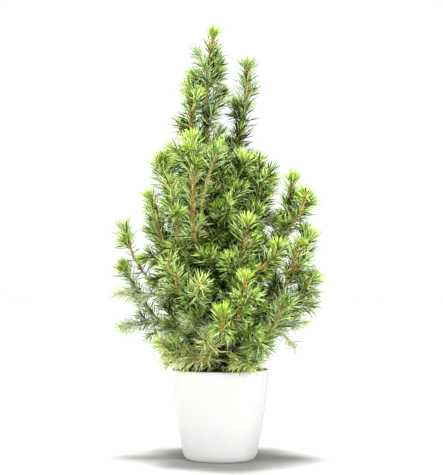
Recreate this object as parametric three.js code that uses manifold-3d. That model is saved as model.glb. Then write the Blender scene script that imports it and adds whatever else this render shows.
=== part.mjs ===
// Potted dwarf conifer: a young Alberta spruce in a round white planter.
// Millimetres, +Z up. The origin is the middle of the planter's flat foot. The plant's front faces -Y.
// Bearings are degrees about +Z from +X, so 90 is the back, 180 the left and 270 the front.
import * as THREE from "three";
import { mergeVertices } from "three/addons/utils/BufferGeometryUtils.js";
import Module from "manifold-3d";

const wasm = await Module();
wasm.setup();

// ---------------------------------------------------------------- driving dimensions

const CLEARANCE = 0.35; // kept between any two neighbouring pieces
const ROUND_SIDES = 28; // facets round the planter, the grower's pot and the soil

const PLANTER = {
  height: 101.6,
  footRadius: 35, // the flat that it stands on
  heelRadius: 43, // where the rounded heel meets the wall
  heelHeight: 12,
  rimRadius: 54.8,
  bow: 2.2, // how far the wall swells past a straight cone
  wall: 2.6,
  floor: 3,
};

const LINER = {
  footRadius: 33,
  neckRadius: 48.6, // under the lip
  lipRadius: 50.8,
  lipHeight: 2.2,
  top: 98,
  wall: 1.1,
};

const SOIL = {
  top: 91,
  flatRadius: 30, // level ground round the stem
  edgeDrop: 2.5,
};

const TRUNK = {
  foot: 9, // X at the soil
  tip: -8, // X at the top
  sway: 13.5, // how far it leans past the straight line, to -X
  swayLift: 1.9, // above 1, that lean comes higher up
  depthSway: 3, // how far it wanders forwards and backwards
  top: 482,
  footRadius: 5.2,
  tipRadius: 1.5,
  flare: 4, // extra radius of the root flare
  flareHeight: 16,
  buttresses: 5,
  buttressDepth: 0.16, // share of the radius
  sides: 10,
  rings: 12,
};

const BOUGH = {
  rootRadius: 3,
  tipRadius: 1.5,
  socket: 10, // how far its end stands inside its foliage
  sides: 5,
  rings: 3,
};

// How a shoot leaves its root and reaches its tip, as shares of its reach across and of its rise.
const GROWTH = { outAtRoot: 0.55, upAtRoot: 0.2, upAtTip: 0.5, outAtTip: 0.35 };

const FOLIAGE = {
  sides: 6,
  // A plume's fullness, as [share of its length, share of its girth]: slender root, blunt tip.
  profile: [[0, 0], [0.05, 0.5], [0.3, 0.92], [0.64, 1], [0.89, 0.88], [0.98, 0.52], [1, 0]],
  swell: [0.1, 0.07], // the two waves that make a surface uneven, as shares of its girth
};

// The leader's own foliage, up the trunk. Its forks leave the trunk at height from.
const LEADER = {
  from: 340,
  top: 491,
  girth: 17,
  forks: [
    { from: 424, bearing: 190, reach: 24, top: 459, girth: 10 },
    { from: 418, bearing: 310, reach: 5, top: 458, girth: 11 },
    { from: 372, bearing: 30, reach: 8, top: 424, girth: 13 },
  ],
};

// Each bough leaves the trunk at height from, and its foliage ends at the tip that bearing, reach and top
// give. bare is the share of it without foliage. upright is 1 where its end stands up, 0 where it lies
// level and less where it hangs. Each fork is one more plume, which leaves the first at the share at.
const BOUGHS = [
  {
    name: "high_left", from: 336, bearing: 197, reach: 31, top: 434, girth: 15, bare: 0.12,
    forks: [{ at: 0.08, bearing: 175, reach: 47, top: 388, girth: 13 }],
  },
  {
    name: "high_right", from: 285, bearing: 14, reach: 33, top: 461, girth: 14, bare: 0.2,
    forks: [{ at: 0.5, bearing: 355, reach: 17, top: 423, girth: 11 }],
  },
  { name: "front_spire", from: 196, bearing: 233, reach: 52, top: 370, girth: 19, bare: 0.2 },
  {
    name: "inner_front", from: 232, bearing: 263, reach: 25, top: 362, girth: 16, bare: 0.1,
    forks: [
      { at: 0.14, bearing: 325, reach: 27, top: 353, girth: 17 },
      { at: 0.04, bearing: 285, reach: 40, top: 300, girth: 15 },
    ],
  },
  {
    name: "shoulder_right", from: 222, bearing: 355, reach: 45, top: 348, girth: 16, bare: 0.14,
    forks: [{ at: 0.16, bearing: 344, reach: 58, top: 326, girth: 16 }],
  },
  {
    name: "shoulder_left", from: 232, bearing: 183, reach: 70, top: 348, girth: 14, bare: 0.16,
    forks: [{ at: 0.2, bearing: 163, reach: 60, top: 354, girth: 15 }],
  },
  { name: "front_left", from: 200, bearing: 217, reach: 68, top: 322, girth: 18, bare: 0.2 },
  { name: "left", from: 174, bearing: 187, reach: 76, top: 308, girth: 17, bare: 0.16 },
  {
    name: "far_left", from: 158, bearing: 183, reach: 109, top: 273, girth: 14, bare: 0.24,
    forks: [{ at: 0.34, bearing: 191, reach: 110, top: 229, girth: 13 }],
  },
  {
    name: "low_left", from: 128, bearing: 168, reach: 132, top: 190, girth: 12, bare: 0.22,
    upright: -0.1,
    forks: [
      { at: 0.3, bearing: 175, reach: 122, top: 149, girth: 12, upright: 0 },
      { at: 0.1, bearing: 192, reach: 76, top: 132, girth: 13, upright: -0.1 },
    ],
  },
  {
    name: "right", from: 178, bearing: 4, reach: 84, top: 330, girth: 14, bare: 0.18,
    forks: [{ at: 0.4, bearing: 353, reach: 98, top: 309, girth: 13 }],
  },
  {
    name: "front_right_high", from: 158, bearing: 352, reach: 104, top: 264, girth: 14, bare: 0.24,
    forks: [{ at: 0.32, bearing: 336, reach: 94, top: 251, girth: 16 }],
  },
  {
    name: "low_right", from: 140, bearing: 348, reach: 114, top: 215, girth: 15, bare: 0.22, upright: 0.4,
    forks: [{ at: 0.4, bearing: 2, reach: 112, top: 191, girth: 13, upright: 0.2 }],
  },
  {
    name: "drooping_right", from: 124, bearing: 14, reach: 105, top: 164, girth: 15, bare: 0.2,
    upright: 0,
    forks: [{ at: 0.5, bearing: 20, reach: 102, top: 122, girth: 8, upright: -0.3 }],
  },
  {
    name: "front_low", from: 126, bearing: 285, reach: 99, top: 216, girth: 18, bare: 0.18,
    forks: [{ at: 0.3, bearing: 270, reach: 100, top: 176, girth: 18, upright: 0.8 }],
  },
  {
    name: "front_middle", from: 164, bearing: 292, reach: 74, top: 278, girth: 20, bare: 0.16,
    forks: [
      { at: 0.26, bearing: 317, reach: 85, top: 248, girth: 18 },
      { at: 0.14, bearing: 270, reach: 66, top: 234, girth: 17 },
    ],
  },
  {
    name: "front_right_low", from: 112, bearing: 318, reach: 96, top: 197, girth: 19, bare: 0.2,
    forks: [
      { at: 0.28, bearing: 296, reach: 90, top: 133, girth: 18, upright: -0.1 },
      { at: 0.2, bearing: 308, reach: 68, top: 115, girth: 13, upright: -0.2 },
    ],
  },
  {
    name: "front_left_middle", from: 142, bearing: 231, reach: 88, top: 234, girth: 20, bare: 0.18,
    forks: [{ at: 0.3, bearing: 258, reach: 97, top: 208, girth: 19, upright: 0.6 }],
  },
  {
    name: "front_left_low", from: 106, bearing: 259, reach: 95, top: 136, girth: 18, bare: 0.2,
    upright: 0,
    forks: [{ at: 0.25, bearing: 222, reach: 90, top: 120, girth: 18, upright: -0.1 }],
  },
  { name: "back_high", from: 286, bearing: 84, reach: 30, top: 403, girth: 17, bare: 0.14 },
  {
    name: "back_spire", from: 218, bearing: 132, reach: 58, top: 352, girth: 18, bare: 0.18,
    forks: [{ at: 0.25, bearing: 88, reach: 54, top: 332, girth: 18 }],
  },
  { name: "back_right_spire", from: 212, bearing: 48, reach: 61, top: 338, girth: 18, bare: 0.18 },
  {
    name: "back_left_middle", from: 170, bearing: 146, reach: 90, top: 280, girth: 19, bare: 0.18,
    forks: [{ at: 0.3, bearing: 116, reach: 88, top: 262, girth: 20 }],
  },
  {
    name: "back_right_middle", from: 164, bearing: 36, reach: 90, top: 268, girth: 19, bare: 0.18,
    forks: [{ at: 0.3, bearing: 72, reach: 87, top: 272, girth: 20 }],
  },
  {
    name: "back_left_low", from: 122, bearing: 134, reach: 112, top: 202, girth: 18, bare: 0.2,
    upright: 0.5,
    forks: [{ at: 0.3, bearing: 106, reach: 108, top: 190, girth: 19, upright: 0.6 }],
  },
  {
    name: "back_right_low", from: 132, bearing: 50, reach: 110, top: 200, girth: 18, bare: 0.2,
    upright: 0.6,
    forks: [{ at: 0.3, bearing: 80, reach: 107, top: 208, girth: 19, upright: 0.8 }],
  },
  {
    name: "back_foot", from: 108, bearing: 97, reach: 94, top: 136, girth: 18, bare: 0.2, upright: 0,
    forks: [
      { at: 0.25, bearing: 57, reach: 90, top: 126, girth: 16, upright: -0.1 },
      { at: 0.25, bearing: 141, reach: 88, top: 124, girth: 16, upright: -0.1 },
    ],
  },
];

const FINISHES = {
  planter: { color: 0xf1f1ee, roughness: 0.45, metalness: 0 },
  liner: { color: 0x33363a, roughness: 0.6, metalness: 0 },
  soil: { color: 0x3a2c22, roughness: 0.95, metalness: 0 },
  bark: { color: 0x7a5636, roughness: 0.85, metalness: 0 },
  foliage: { color: 0x7f9a48, roughness: 0.6, metalness: 0 },
};

// ---------------------------------------------------------------- solids

// The geometry as a manifold solid, with its shared vertices merged.
function solidOf(geometry) {
  const bare = new THREE.BufferGeometry()
    .setAttribute("position", geometry.getAttribute("position"))
    .setIndex(geometry.index);
  const merged = mergeVertices(bare, 1e-3);
  return new wasm.Manifold(
    new wasm.Mesh({
      numProp: 3,
      vertProperties: merged.getAttribute("position").array,
      triVerts: Uint32Array.from(merged.index.array),
    }),
  );
}

// A manifold solid as a three.js geometry.
function geometryOf(solid) {
  const mesh = solid.getMesh();
  return new THREE.BufferGeometry()
    .setAttribute("position", new THREE.BufferAttribute(mesh.vertProperties, 3))
    .setIndex(new THREE.BufferAttribute(mesh.triVerts, 1));
}

// What is left of a solid once others are taken from it, without any crumbs that come loose.
function cutRound(solid, others) {
  const left = others.reduce((rest, other) => rest.subtract(other), solid);
  return left.decompose().reduce((a, b) => (a.volume() > b.volume() ? a : b));
}

// A solid turned about +Z, from [radius, height] pairs that begin and end on the axis.
function turned(profile) {
  const points = profile.map(([radius, height]) => new THREE.Vector2(radius, height));
  return solidOf(new THREE.LatheGeometry(points, ROUND_SIDES).rotateX(Math.PI / 2));
}

// Evenly spaced values from one to another, both included.
function spaced(from, to, count) {
  return Array.from({ length: count }, (_, i) => THREE.MathUtils.lerp(from, to, i / (count - 1)));
}

// Bends a geometry that runs from 0 to 1 along +Y so that it follows a curve, at the radius that
// radiusAt(share along, angle round) gives for its unit circle.
function bendAlong(geometry, curve, radiusAt) {
  const steps = 12;
  const frames = curve.computeFrenetFrames(steps, false);
  const position = geometry.getAttribute("position");
  const vertex = new THREE.Vector3();
  for (let i = 0; i < position.count; i++) {
    vertex.fromBufferAttribute(position, i);
    const share = THREE.MathUtils.clamp(vertex.y, 0, 1);
    const below = Math.min(Math.floor(share * steps), steps - 1);
    const part = share * steps - below;
    const side = frames.binormals[below].clone().lerp(frames.binormals[below + 1], part);
    const front = frames.normals[below].clone().lerp(frames.normals[below + 1], part);
    const radius = radiusAt(share, Math.atan2(vertex.z, vertex.x));
    const placed = curve
      .getPointAt(share)
      .addScaledVector(side.normalize(), vertex.x * radius)
      .addScaledVector(front.normalize(), vertex.z * radius);
    position.setXYZ(i, placed.x, placed.y, placed.z);
  }
  return geometry;
}

// A solid round a curve, from its profile of [share along, share of the radius] pairs.
function grownAlong(curve, profile, sides, radiusAt) {
  const outline = profile.map(([share, fullness]) => new THREE.Vector2(fullness, share));
  return solidOf(bendAlong(new THREE.LatheGeometry(outline, sides), curve, radiusAt));
}

// A tapering limb along a curve, with flat ends. Its rings crowd to its root where crowding is above 1.
function limb(curve, { sides, rings }, crowding, radiusAt) {
  const shares = spaced(0, 1, rings + 1).map((share) => share ** crowding);
  const profile = [[0, 0], ...shares.map((share) => [share, 1]), [1, 0]];
  return grownAlong(curve, profile, sides, radiusAt);
}

// A plume of foliage along a curve, round at both ends and uneven all over. Its phase makes it its own.
function plume(curve, girth, phase) {
  const [broad, fine] = FOLIAGE.swell;
  return grownAlong(curve, FOLIAGE.profile, FOLIAGE.sides, (share, angle) => {
    const broadWave = broad * Math.sin(2 * angle + 8 * share + phase);
    const fineWave = fine * Math.sin(3 * angle - 17 * share + 2 * phase);
    return girth * (1 + broadWave + fineWave);
  });
}

// ---------------------------------------------------------------- lines that the plant follows

// The trunk's centre line, from the soil to its tip.
class TrunkLine extends THREE.Curve {
  getPoint(t, target = new THREE.Vector3()) {
    const swing = Math.sin(Math.PI * t ** TRUNK.swayLift);
    return target.set(
      THREE.MathUtils.lerp(TRUNK.foot, TRUNK.tip, t) - TRUNK.sway * swing,
      TRUNK.depthSway * Math.sin(2 * Math.PI * t),
      THREE.MathUtils.lerp(SOIL.top, TRUNK.top, t),
    );
  }

  atHeight(height) {
    return this.getPoint((height - SOIL.top) / (TRUNK.top - SOIL.top));
  }
}

// The stretch of another curve between two shares of its length.
class Stretch extends THREE.Curve {
  constructor(whole, from, to) {
    super();
    Object.assign(this, { whole, from, to });
  }

  getPoint(t, target = new THREE.Vector3()) {
    return target.copy(this.whole.getPointAt(THREE.MathUtils.lerp(this.from, this.to, t)));
  }
}

const trunkLine = new TrunkLine();

// The tip that a bearing, a reach from the planter's axis and a height give.
function tipOf({ bearing, reach, top }) {
  const angle = THREE.MathUtils.degToRad(bearing);
  return new THREE.Vector3(reach * Math.cos(angle), reach * Math.sin(angle), top);
}

// A line that leaves its root outwards and turns up into its tip, as spruce shoots do. With upright 0 it
// ends level, and below that it hangs.
function growthLine(root, tip, upright = 1) {
  const across = tip.clone().sub(root).setZ(0);
  const rise = new THREE.Vector3(0, 0, tip.z - root.z);
  const leaving = root
    .clone()
    .addScaledVector(across, GROWTH.outAtRoot)
    .addScaledVector(rise, GROWTH.upAtRoot);
  const upEnd = tip.clone().addScaledVector(rise, -GROWTH.upAtTip);
  const levelEnd = tip.clone().addScaledVector(across, -GROWTH.outAtTip);
  return new THREE.CubicBezierCurve3(root, leaving, levelEnd.lerp(upEnd, upright), tip);
}

// ---------------------------------------------------------------- the pieces

// The planter's outer radius at a height above its heel.
function planterRadius(height) {
  const share = (height - PLANTER.heelHeight) / (PLANTER.height - PLANTER.heelHeight);
  const cone = THREE.MathUtils.lerp(PLANTER.heelRadius, PLANTER.rimRadius, share);
  return cone + 4 * PLANTER.bow * share * (1 - share);
}

// A thin-walled tub with a round heel, a swelling wall and a rounded rim.
function planter() {
  const { height, footRadius, heelRadius, heelHeight, wall, floor } = PLANTER;
  const lip = wall / 2;
  const heel = (inset, rise) =>
    spaced(0, Math.PI / 2, 4).map((angle) => [
      footRadius + (heelRadius - inset - footRadius) * Math.sin(angle),
      rise + (heelHeight - rise) * (1 - Math.cos(angle)),
    ]);
  const wallHeights = spaced(heelHeight, height - lip, 5).slice(1);
  const wallOut = wallHeights.map((z) => [planterRadius(z), z]);
  const rimMiddle = planterRadius(height - lip) - lip;
  const rim = spaced(Math.PI / 4, (3 * Math.PI) / 4, 3).map((angle) => [
    rimMiddle + lip * Math.cos(angle),
    height - lip + lip * Math.sin(angle),
  ]);
  const wallIn = wallOut.map(([radius, z]) => [radius - wall, z]).reverse();
  const heelIn = heel(wall, floor).reverse();
  return turned([[0, 0], ...heel(0, 0), ...wallOut, ...rim, ...wallIn, ...heelIn, [0, floor]]);
}

// The heights and radii that the grower's pot and the soil in it share.
const linerFoot = PLANTER.floor + CLEARANCE;
const linerFloor = linerFoot + LINER.wall;
const linerNeck = LINER.top - LINER.lipHeight;

function linerInnerRadius(height) {
  const share = (height - linerFoot) / (linerNeck - linerFoot);
  return THREE.MathUtils.lerp(LINER.footRadius, LINER.neckRadius, share) - LINER.wall;
}

// The thin grower's pot that stands inside the planter, with its rolled lip.
function liner() {
  return turned([
    [0, linerFoot],
    [LINER.footRadius, linerFoot],
    [LINER.neckRadius, linerNeck],
    [LINER.lipRadius, linerNeck],
    [LINER.lipRadius, LINER.top],
    [LINER.neckRadius - LINER.wall, LINER.top],
    [linerInnerRadius(linerFloor), linerFloor],
    [0, linerFloor],
  ]);
}

// The root ball's soil, level round the stem and a little lower at its edge.
function soil() {
  const foot = linerFloor + CLEARANCE;
  const edge = SOIL.top - SOIL.edgeDrop;
  return turned([
    [0, foot],
    [linerInnerRadius(foot) - CLEARANCE, foot],
    [linerInnerRadius(edge) - CLEARANCE, edge],
    [SOIL.flatRadius, SOIL.top],
    [0, SOIL.top],
  ]);
}

// A round block from well below the foot up to a height, for cutting away what may not be there.
function blockBelow(height, radius) {
  const foot = -PLANTER.floor;
  return turned([[0, foot], [radius, foot], [radius, height], [0, height]]);
}

// The trunk, each way fatter by extra, with the root flare and its buttresses at its foot.
function trunk(extra) {
  const length = TRUNK.top - SOIL.top;
  return limb(trunkLine, TRUNK, 1.6, (share, angle) => {
    const nearFoot = Math.exp((-share * length) / TRUNK.flareHeight);
    const taper = THREE.MathUtils.lerp(TRUNK.footRadius, TRUNK.tipRadius, share ** 0.8);
    const buttress = 1 + TRUNK.buttressDepth * nearFoot * Math.cos(TRUNK.buttresses * angle);
    return (taper + TRUNK.flare * nearFoot) * buttress + extra;
  });
}

// A bough's bare wood, fatter by extra.
function boughWood(line, extra) {
  const { rootRadius, tipRadius } = BOUGH;
  return limb(line, BOUGH, 1, (share) => THREE.MathUtils.lerp(rootRadius, tipRadius, share) + extra);
}

// A bough's own lines: the whole of it, its bare wood and each plume that it carries.
function boughLines(bough) {
  const whole = growthLine(trunkLine.atHeight(bough.from), tipOf(bough), bough.upright);
  const wood = new Stretch(whole, 0, bough.bare + BOUGH.socket / whole.getLength());
  const plumes = [{ line: new Stretch(whole, bough.bare, 1), girth: bough.girth }];
  for (const fork of bough.forks ?? []) {
    const root = whole.getPointAt(THREE.MathUtils.lerp(bough.bare, 1, fork.at));
    plumes.push({ line: growthLine(root, tipOf(fork), fork.upright), girth: fork.girth });
  }
  return { wood, plumes };
}

// The leader's plumes: one up the trunk and on past its tip, and one for each fork.
function leaderPlumes() {
  const tip = trunkLine.atHeight(TRUNK.top).setZ(LEADER.top);
  const heights = spaced(LEADER.from, TRUNK.top, 4);
  const line = new THREE.CatmullRomCurve3([...heights.map((z) => trunkLine.atHeight(z)), tip]);
  const forks = LEADER.forks.map((fork) => ({
    line: growthLine(trunkLine.atHeight(fork.from), tipOf(fork)),
    girth: fork.girth,
  }));
  return [{ line, girth: LEADER.girth }, ...forks];
}

// The foliage of a bough: its plumes joined, each a little fatter by extra.
function foliage(plumes, phase, extra) {
  const parts = plumes.map(({ line, girth }, i) => plume(line, girth + extra, phase + 1.7 * i));
  return parts.reduce((all, part) => all.add(part));
}

// ---------------------------------------------------------------- the whole plant

const plant = new THREE.Group();

function addPiece(name, solid, finish) {
  const mesh = new THREE.Mesh(geometryOf(solid), new THREE.MeshStandardMaterial(FINISHES[finish]));
  mesh.name = name;
  plant.add(mesh);
}

addPiece("planter", planter(), "planter");
addPiece("grower_pot", liner(), "liner");
addPiece("soil", soil(), "soil");

const ground = blockBelow(SOIL.top + CLEARANCE, PLANTER.rimRadius);
addPiece("trunk", cutRound(trunk(0), [ground]), "bark");

// Boughs are cut round the trunk and round each other.
const wood = [trunk(CLEARANCE)];
const grown = BOUGHS.map((bough) => ({ name: bough.name, ...boughLines(bough) }));
for (const { name, wood: line } of grown) {
  addPiece("bough_" + name, cutRound(boughWood(line, 0), wood), "bark");
  wood.push(boughWood(line, CLEARANCE));
}

// Foliage is cut round the planter, all the wood and the foliage that is already there.
const planterRoom = blockBelow(PLANTER.height + CLEARANCE, PLANTER.rimRadius + CLEARANCE);
const taken = [planterRoom, ...wood];
[{ name: "leader", plumes: leaderPlumes() }, ...grown].forEach(({ name, plumes }, i) => {
  addPiece("foliage_" + name, cutRound(foliage(plumes, i, 0), taken), "foliage");
  taken.push(foliage(plumes, i, CLEARANCE));
});

export default plant;
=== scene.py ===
"""Looks of a potted alberta spruce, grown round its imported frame: pots, soil, bark, shoots and needles."""

import math

import bpy
import numpy as np
from bpy.props import FloatProperty, FloatVectorProperty, IntProperty, PointerProperty
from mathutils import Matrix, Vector
from mathutils.bvhtree import BVHTree


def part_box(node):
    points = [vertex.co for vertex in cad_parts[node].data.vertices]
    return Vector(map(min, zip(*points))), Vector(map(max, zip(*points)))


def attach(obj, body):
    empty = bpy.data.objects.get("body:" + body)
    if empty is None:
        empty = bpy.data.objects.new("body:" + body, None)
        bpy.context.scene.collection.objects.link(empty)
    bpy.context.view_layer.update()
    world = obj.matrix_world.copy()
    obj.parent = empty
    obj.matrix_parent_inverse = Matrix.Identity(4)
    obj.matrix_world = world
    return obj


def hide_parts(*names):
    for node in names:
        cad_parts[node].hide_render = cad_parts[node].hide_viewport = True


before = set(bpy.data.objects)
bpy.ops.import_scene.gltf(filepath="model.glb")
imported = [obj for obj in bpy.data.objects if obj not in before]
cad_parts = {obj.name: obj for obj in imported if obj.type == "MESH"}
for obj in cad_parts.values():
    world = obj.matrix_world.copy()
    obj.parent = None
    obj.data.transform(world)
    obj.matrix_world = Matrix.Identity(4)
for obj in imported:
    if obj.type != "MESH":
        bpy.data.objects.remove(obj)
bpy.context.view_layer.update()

bl_info = {
    "name": "Potted Alberta Spruce",
    "version": (1, 0, 0),
    "blender": (4, 5, 0),
    "location": "View3D > Sidebar > Spruce",
    "description": "Pots, soil, bark, shoots and needles of a young potted spruce",
    "category": "Object",
}

MM = 0.001
BODY = "root"
UP = np.array([0.0, 0.0, 1.0])
LEVEL = np.array([1.0, 1.0, 0.0])  # takes the height out of a vector
GOLDEN_TURN = math.radians(137.508)  # from one leaf to the next up a shoot
PATH_POINTS = 24  # points along every shoot
ALONG = np.linspace(0, 1, PATH_POINTS)  # the share of its length at each of them
FOLIAGE_NODES = [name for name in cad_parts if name.startswith("foliage_")]
BOUGH_NODES = [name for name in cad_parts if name.startswith("bough_")]


# ---------------------------------------------------------------- colours and materials


def linear(hex_colour):
    """An sRGB hex value as linear red, green, blue and alpha."""
    parts = [int(hex_colour[i : i + 2], 16) / 255 for i in (1, 3, 5)]
    return tuple(p / 12.92 if p <= 0.04045 else ((p + 0.055) / 1.055) ** 2.4 for p in parts) + (1.0,)


def add_node(tree, kind, inputs=None, drives=None, ramp=None, **settings):
    """Adds a shader node. inputs gives a socket a value, or a link from (node, output). drives links an
    output on to (node, socket). ramp is (place, colour) pairs."""
    node = tree.nodes.new("ShaderNode" + kind)
    for name, value in settings.items():
        setattr(node, name, value)
    for socket, value in (inputs or {}).items():
        if isinstance(value, tuple) and isinstance(value[0], bpy.types.Node):
            tree.links.new(value[0].outputs[value[1]], node.inputs[socket])
        else:
            node.inputs[socket].default_value = value
    for output, (target, socket) in (drives or {}).items():
        tree.links.new(node.outputs[output], target.inputs[socket])
    for number, (place, colour) in enumerate(ramp or ()):
        elements = node.color_ramp.elements
        element = elements[number] if number < len(elements) else elements.new(place)
        element.position, element.color = place, colour
    return node


def finish_material(name, **constants):
    """A new material with its shader's own sockets set. Returns material, node tree and shader."""
    made = bpy.data.materials.new(name)
    made.use_nodes = True
    shader = made.node_tree.nodes["Principled BSDF"]
    for socket, value in constants.items():
        shader.inputs[socket.replace("_", " ")].default_value = value
    return made, made.node_tree, shader


# ---------------------------------------------------------------- meshes


def solid(name, shape, material, nodes=(), smooth=True):
    """One piece at the origin that rides on the body. Its shape is points and a list of integer face
    arrays."""
    points, face_sets = shape
    face_sets = [faces for faces in face_sets if len(faces)]
    corners = np.concatenate([faces.ravel() for faces in face_sets]).astype(np.int32)
    totals = np.concatenate([np.full(len(faces), faces.shape[1]) for faces in face_sets])
    mesh = bpy.data.meshes.new(name)
    mesh.vertices.add(len(points))
    mesh.vertices.foreach_set("co", np.ascontiguousarray(points, dtype=np.float32).ravel())
    mesh.loops.add(len(corners))
    mesh.loops.foreach_set("vertex_index", corners)
    mesh.polygons.add(len(totals))
    mesh.polygons.foreach_set("loop_start", np.concatenate([[0], np.cumsum(totals)[:-1]]).astype(np.int32))
    mesh.update(calc_edges=True)
    if mesh.validate():
        raise RuntimeError(f"{name}: the mesh had faults")
    mesh.polygons.foreach_set("use_smooth", np.full(len(totals), smooth))
    mesh.materials.append(material)
    made = bpy.data.objects.new(name, mesh)
    bpy.context.scene.collection.objects.link(made)
    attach(made, BODY)
    if nodes:
        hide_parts(*nodes)


def unit(vectors):
    """Vectors at length one."""
    return vectors / np.maximum(np.linalg.norm(vectors, axis=-1, keepdims=True), 1e-12)


def circle(count, start=0.0):
    """Cosines and sines of count even steps round one turn."""
    turn = np.arange(count) * 2 * math.pi / count + start
    return np.cos(turn), np.sin(turn)


def next_round(sides):
    """The numbers of a ring's corners, and of the corner after each."""
    side = np.arange(sides)
    return side, (side + 1) % sides


def ring_faces(rings, sides):
    """Quads between neighbouring closed rings, with outward faces where rings turn about their own
    path."""
    side, after = next_round(sides)
    start = np.arange(rings - 1)[:, None] * sides
    quads = [start + side, start + after, start + sides + after, start + sides + side]
    return np.stack(quads, -1).reshape(-1, 4)


def revolve(profile, sides):
    """A closed solid of revolution: profile (radius, height) from the axis round the outside back to the
    axis, turned once about Z. The two ends close in a fan on the axis."""
    rings = np.empty((len(profile) - 2, sides, 3))
    rings[:, :, :2] = profile[1:-1, 0, None, None] * np.stack(circle(sides), 1)
    rings[:, :, 2] = profile[1:-1, 1, None]
    points = np.concatenate([rings.reshape(-1, 3), [[0, 0, profile[0, 1]], [0, 0, profile[-1, 1]]]])
    side, after = next_round(sides)
    last = (len(profile) - 3) * sides
    foot = np.stack([after, side, np.full(sides, len(points) - 2)], 1)
    crown = np.stack([last + side, last + after, np.full(sides, len(points) - 1)], 1)
    return points, [ring_faces(len(profile) - 2, sides), foot, crown]


def tubes(paths, radii, sides, frames=None):
    """Closed tubes: round each point of each path a ring of path + radius (cos side + sin front), and a
    flat cap at each end. radii has one for each point, or one for each side of each point."""
    side, front = frames or path_frames(paths)[1:]
    cosine, sine = circle(sides)
    rings = cosine[:, None] * side[:, :, None] + sine[:, None] * front[:, :, None]
    points = paths[:, :, None] + radii.reshape(*paths.shape[:2], -1, 1) * rings
    each = paths.shape[1] * sides
    start = np.arange(len(paths))[:, None, None] * each
    caps = np.stack([np.arange(sides)[::-1], each - sides + np.arange(sides)])
    walls = ring_faces(paths.shape[1], sides)
    return points.reshape(-1, 3), [(start + faces).reshape(-1, faces.shape[1]) for faces in (walls, caps)]


def through(corners, start, steps):
    """A smooth line through corners: cubic Hermite pieces over their chords. The slope at a corner is the
    one between its neighbours, and at the first corner it is start."""
    chord = np.linalg.norm(np.diff(corners, axis=0), axis=1)
    slope = np.gradient(corners, np.concatenate([[0], np.cumsum(chord)]), axis=0)
    slope[0] = start
    t = (np.arange(steps) / steps)[None, :, None]
    a, b = corners[:-1, None], corners[1:, None]
    leave, arrive = slope[:-1, None] * chord[:, None, None], slope[1:, None] * chord[:, None, None]
    line = (2 * t**3 - 3 * t**2 + 1) * a + (t**3 - 2 * t**2 + t) * leave
    line = line + (3 * t**2 - 2 * t**3) * b + (t**3 - t**2) * arrive
    return np.concatenate([line.reshape(-1, 2), corners[-1:]])


def value_noise(u, v, cells, seed, wrap=True):
    """Smooth noise from -1 to 1 at u, v (0 to 1): random values at the corners of cells[0] by cells[1]
    cells, blended by the smoothstep 3t^2 - 2t^3 both ways. u closes on itself."""
    table = np.random.default_rng(seed).uniform(-1, 1, (cells[0] + (not wrap), cells[1] + 2))
    x, y = np.asarray(u) * cells[0], np.clip(np.asarray(v), 0, 1) * cells[1]
    i, j = np.floor(x).astype(int), np.floor(y).astype(int)
    s, t = x - i, y - j
    s, t = s * s * (3 - 2 * s), t * t * (3 - 2 * t)
    i, after = i % cells[0], (i + 1) % cells[0] if wrap else np.minimum(i + 1, cells[0])
    low = table[i, j] * (1 - s) + table[after, j] * s
    high = table[i, j + 1] * (1 - s) + table[after, j + 1] * s
    return low * (1 - t) + high * t


# ---------------------------------------------------------------- reading the frame


def node_shape(name):
    """A node's merged points and its triangles."""
    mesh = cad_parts[name].data
    points = np.empty(len(mesh.vertices) * 3)
    mesh.vertices.foreach_get("co", points)
    corners = np.empty(len(mesh.loops), int)
    mesh.loops.foreach_get("vertex_index", corners)
    whole, index = np.unique(np.round(points.reshape(-1, 3), 6), axis=0, return_inverse=True)
    return whole, index.ravel()[corners].reshape(-1, 3)


def turned_profile(name):
    """A round node's outer and inner radii at each of its heights: (heights, outer, inner)."""
    points, _ = node_shape(name)
    radius = np.hypot(points[:, 0], points[:, 1])
    heights = np.unique(np.round(points[:, 2], 5))
    rows = [radius[np.abs(points[:, 2] - height) < 2e-5] for height in heights]
    return heights, np.array([row.max() for row in rows]), np.array([row.min() for row in rows])


def limb_axis(name, degree, count):
    """A limb's centre line and radii: its surface is sampled evenly, and a polynomial in the distance
    along its main direction is fitted to each coordinate; the radius is a straight-line fit of the
    distance left."""
    points, faces = node_shape(name)
    a, b, c = (points[faces[:, i]] for i in range(3))
    area = 0.5 * np.linalg.norm(np.cross(b - a, c - a), axis=1)
    pick = np.repeat(np.arange(len(faces)), np.maximum(1, (area / (0.8 * MM) ** 2).astype(int)))
    s, t = np.random.default_rng(1).random((2, len(pick)))
    over = s + t > 1
    s[over], t[over] = 1 - s[over], 1 - t[over]
    samples = a[pick] + s[:, None] * (b - a)[pick] + t[:, None] * (c - a)[pick]
    middle = samples.mean(0)
    direction = np.linalg.svd(samples - middle, full_matrices=False)[2][0]
    outward = direction[2] if name == "trunk" else direction[:2] @ middle[:2]
    if outward < 0:
        direction = -direction
    along = (samples - middle) @ direction
    fits = [np.polyfit(along, samples[:, k], degree) for k in range(3)]
    gap = np.linalg.norm(samples - np.stack([np.polyval(fit, along) for fit in fits], 1), axis=1)
    ends, margin = (along.min(), along.max()), 0.1 * np.ptp(along)
    inner = (along > ends[0] + margin) & (along < ends[1] - margin)
    thickness = np.polyfit(along[inner], gap[inner], 1)
    place = np.linspace(*ends, count)
    return np.stack([np.polyval(fit, place) for fit in fits], 1), np.polyval(thickness, place)


def surface_normals(points, faces):
    """The mean direction of the faces round each point."""
    a, b, c = (points[faces[:, k]] for k in range(3))
    across = np.cross(b - a, c - a)
    normals = np.zeros_like(points)
    for k in range(3):
        np.add.at(normals, faces[:, k], across)
    return unit(normals)


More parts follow.
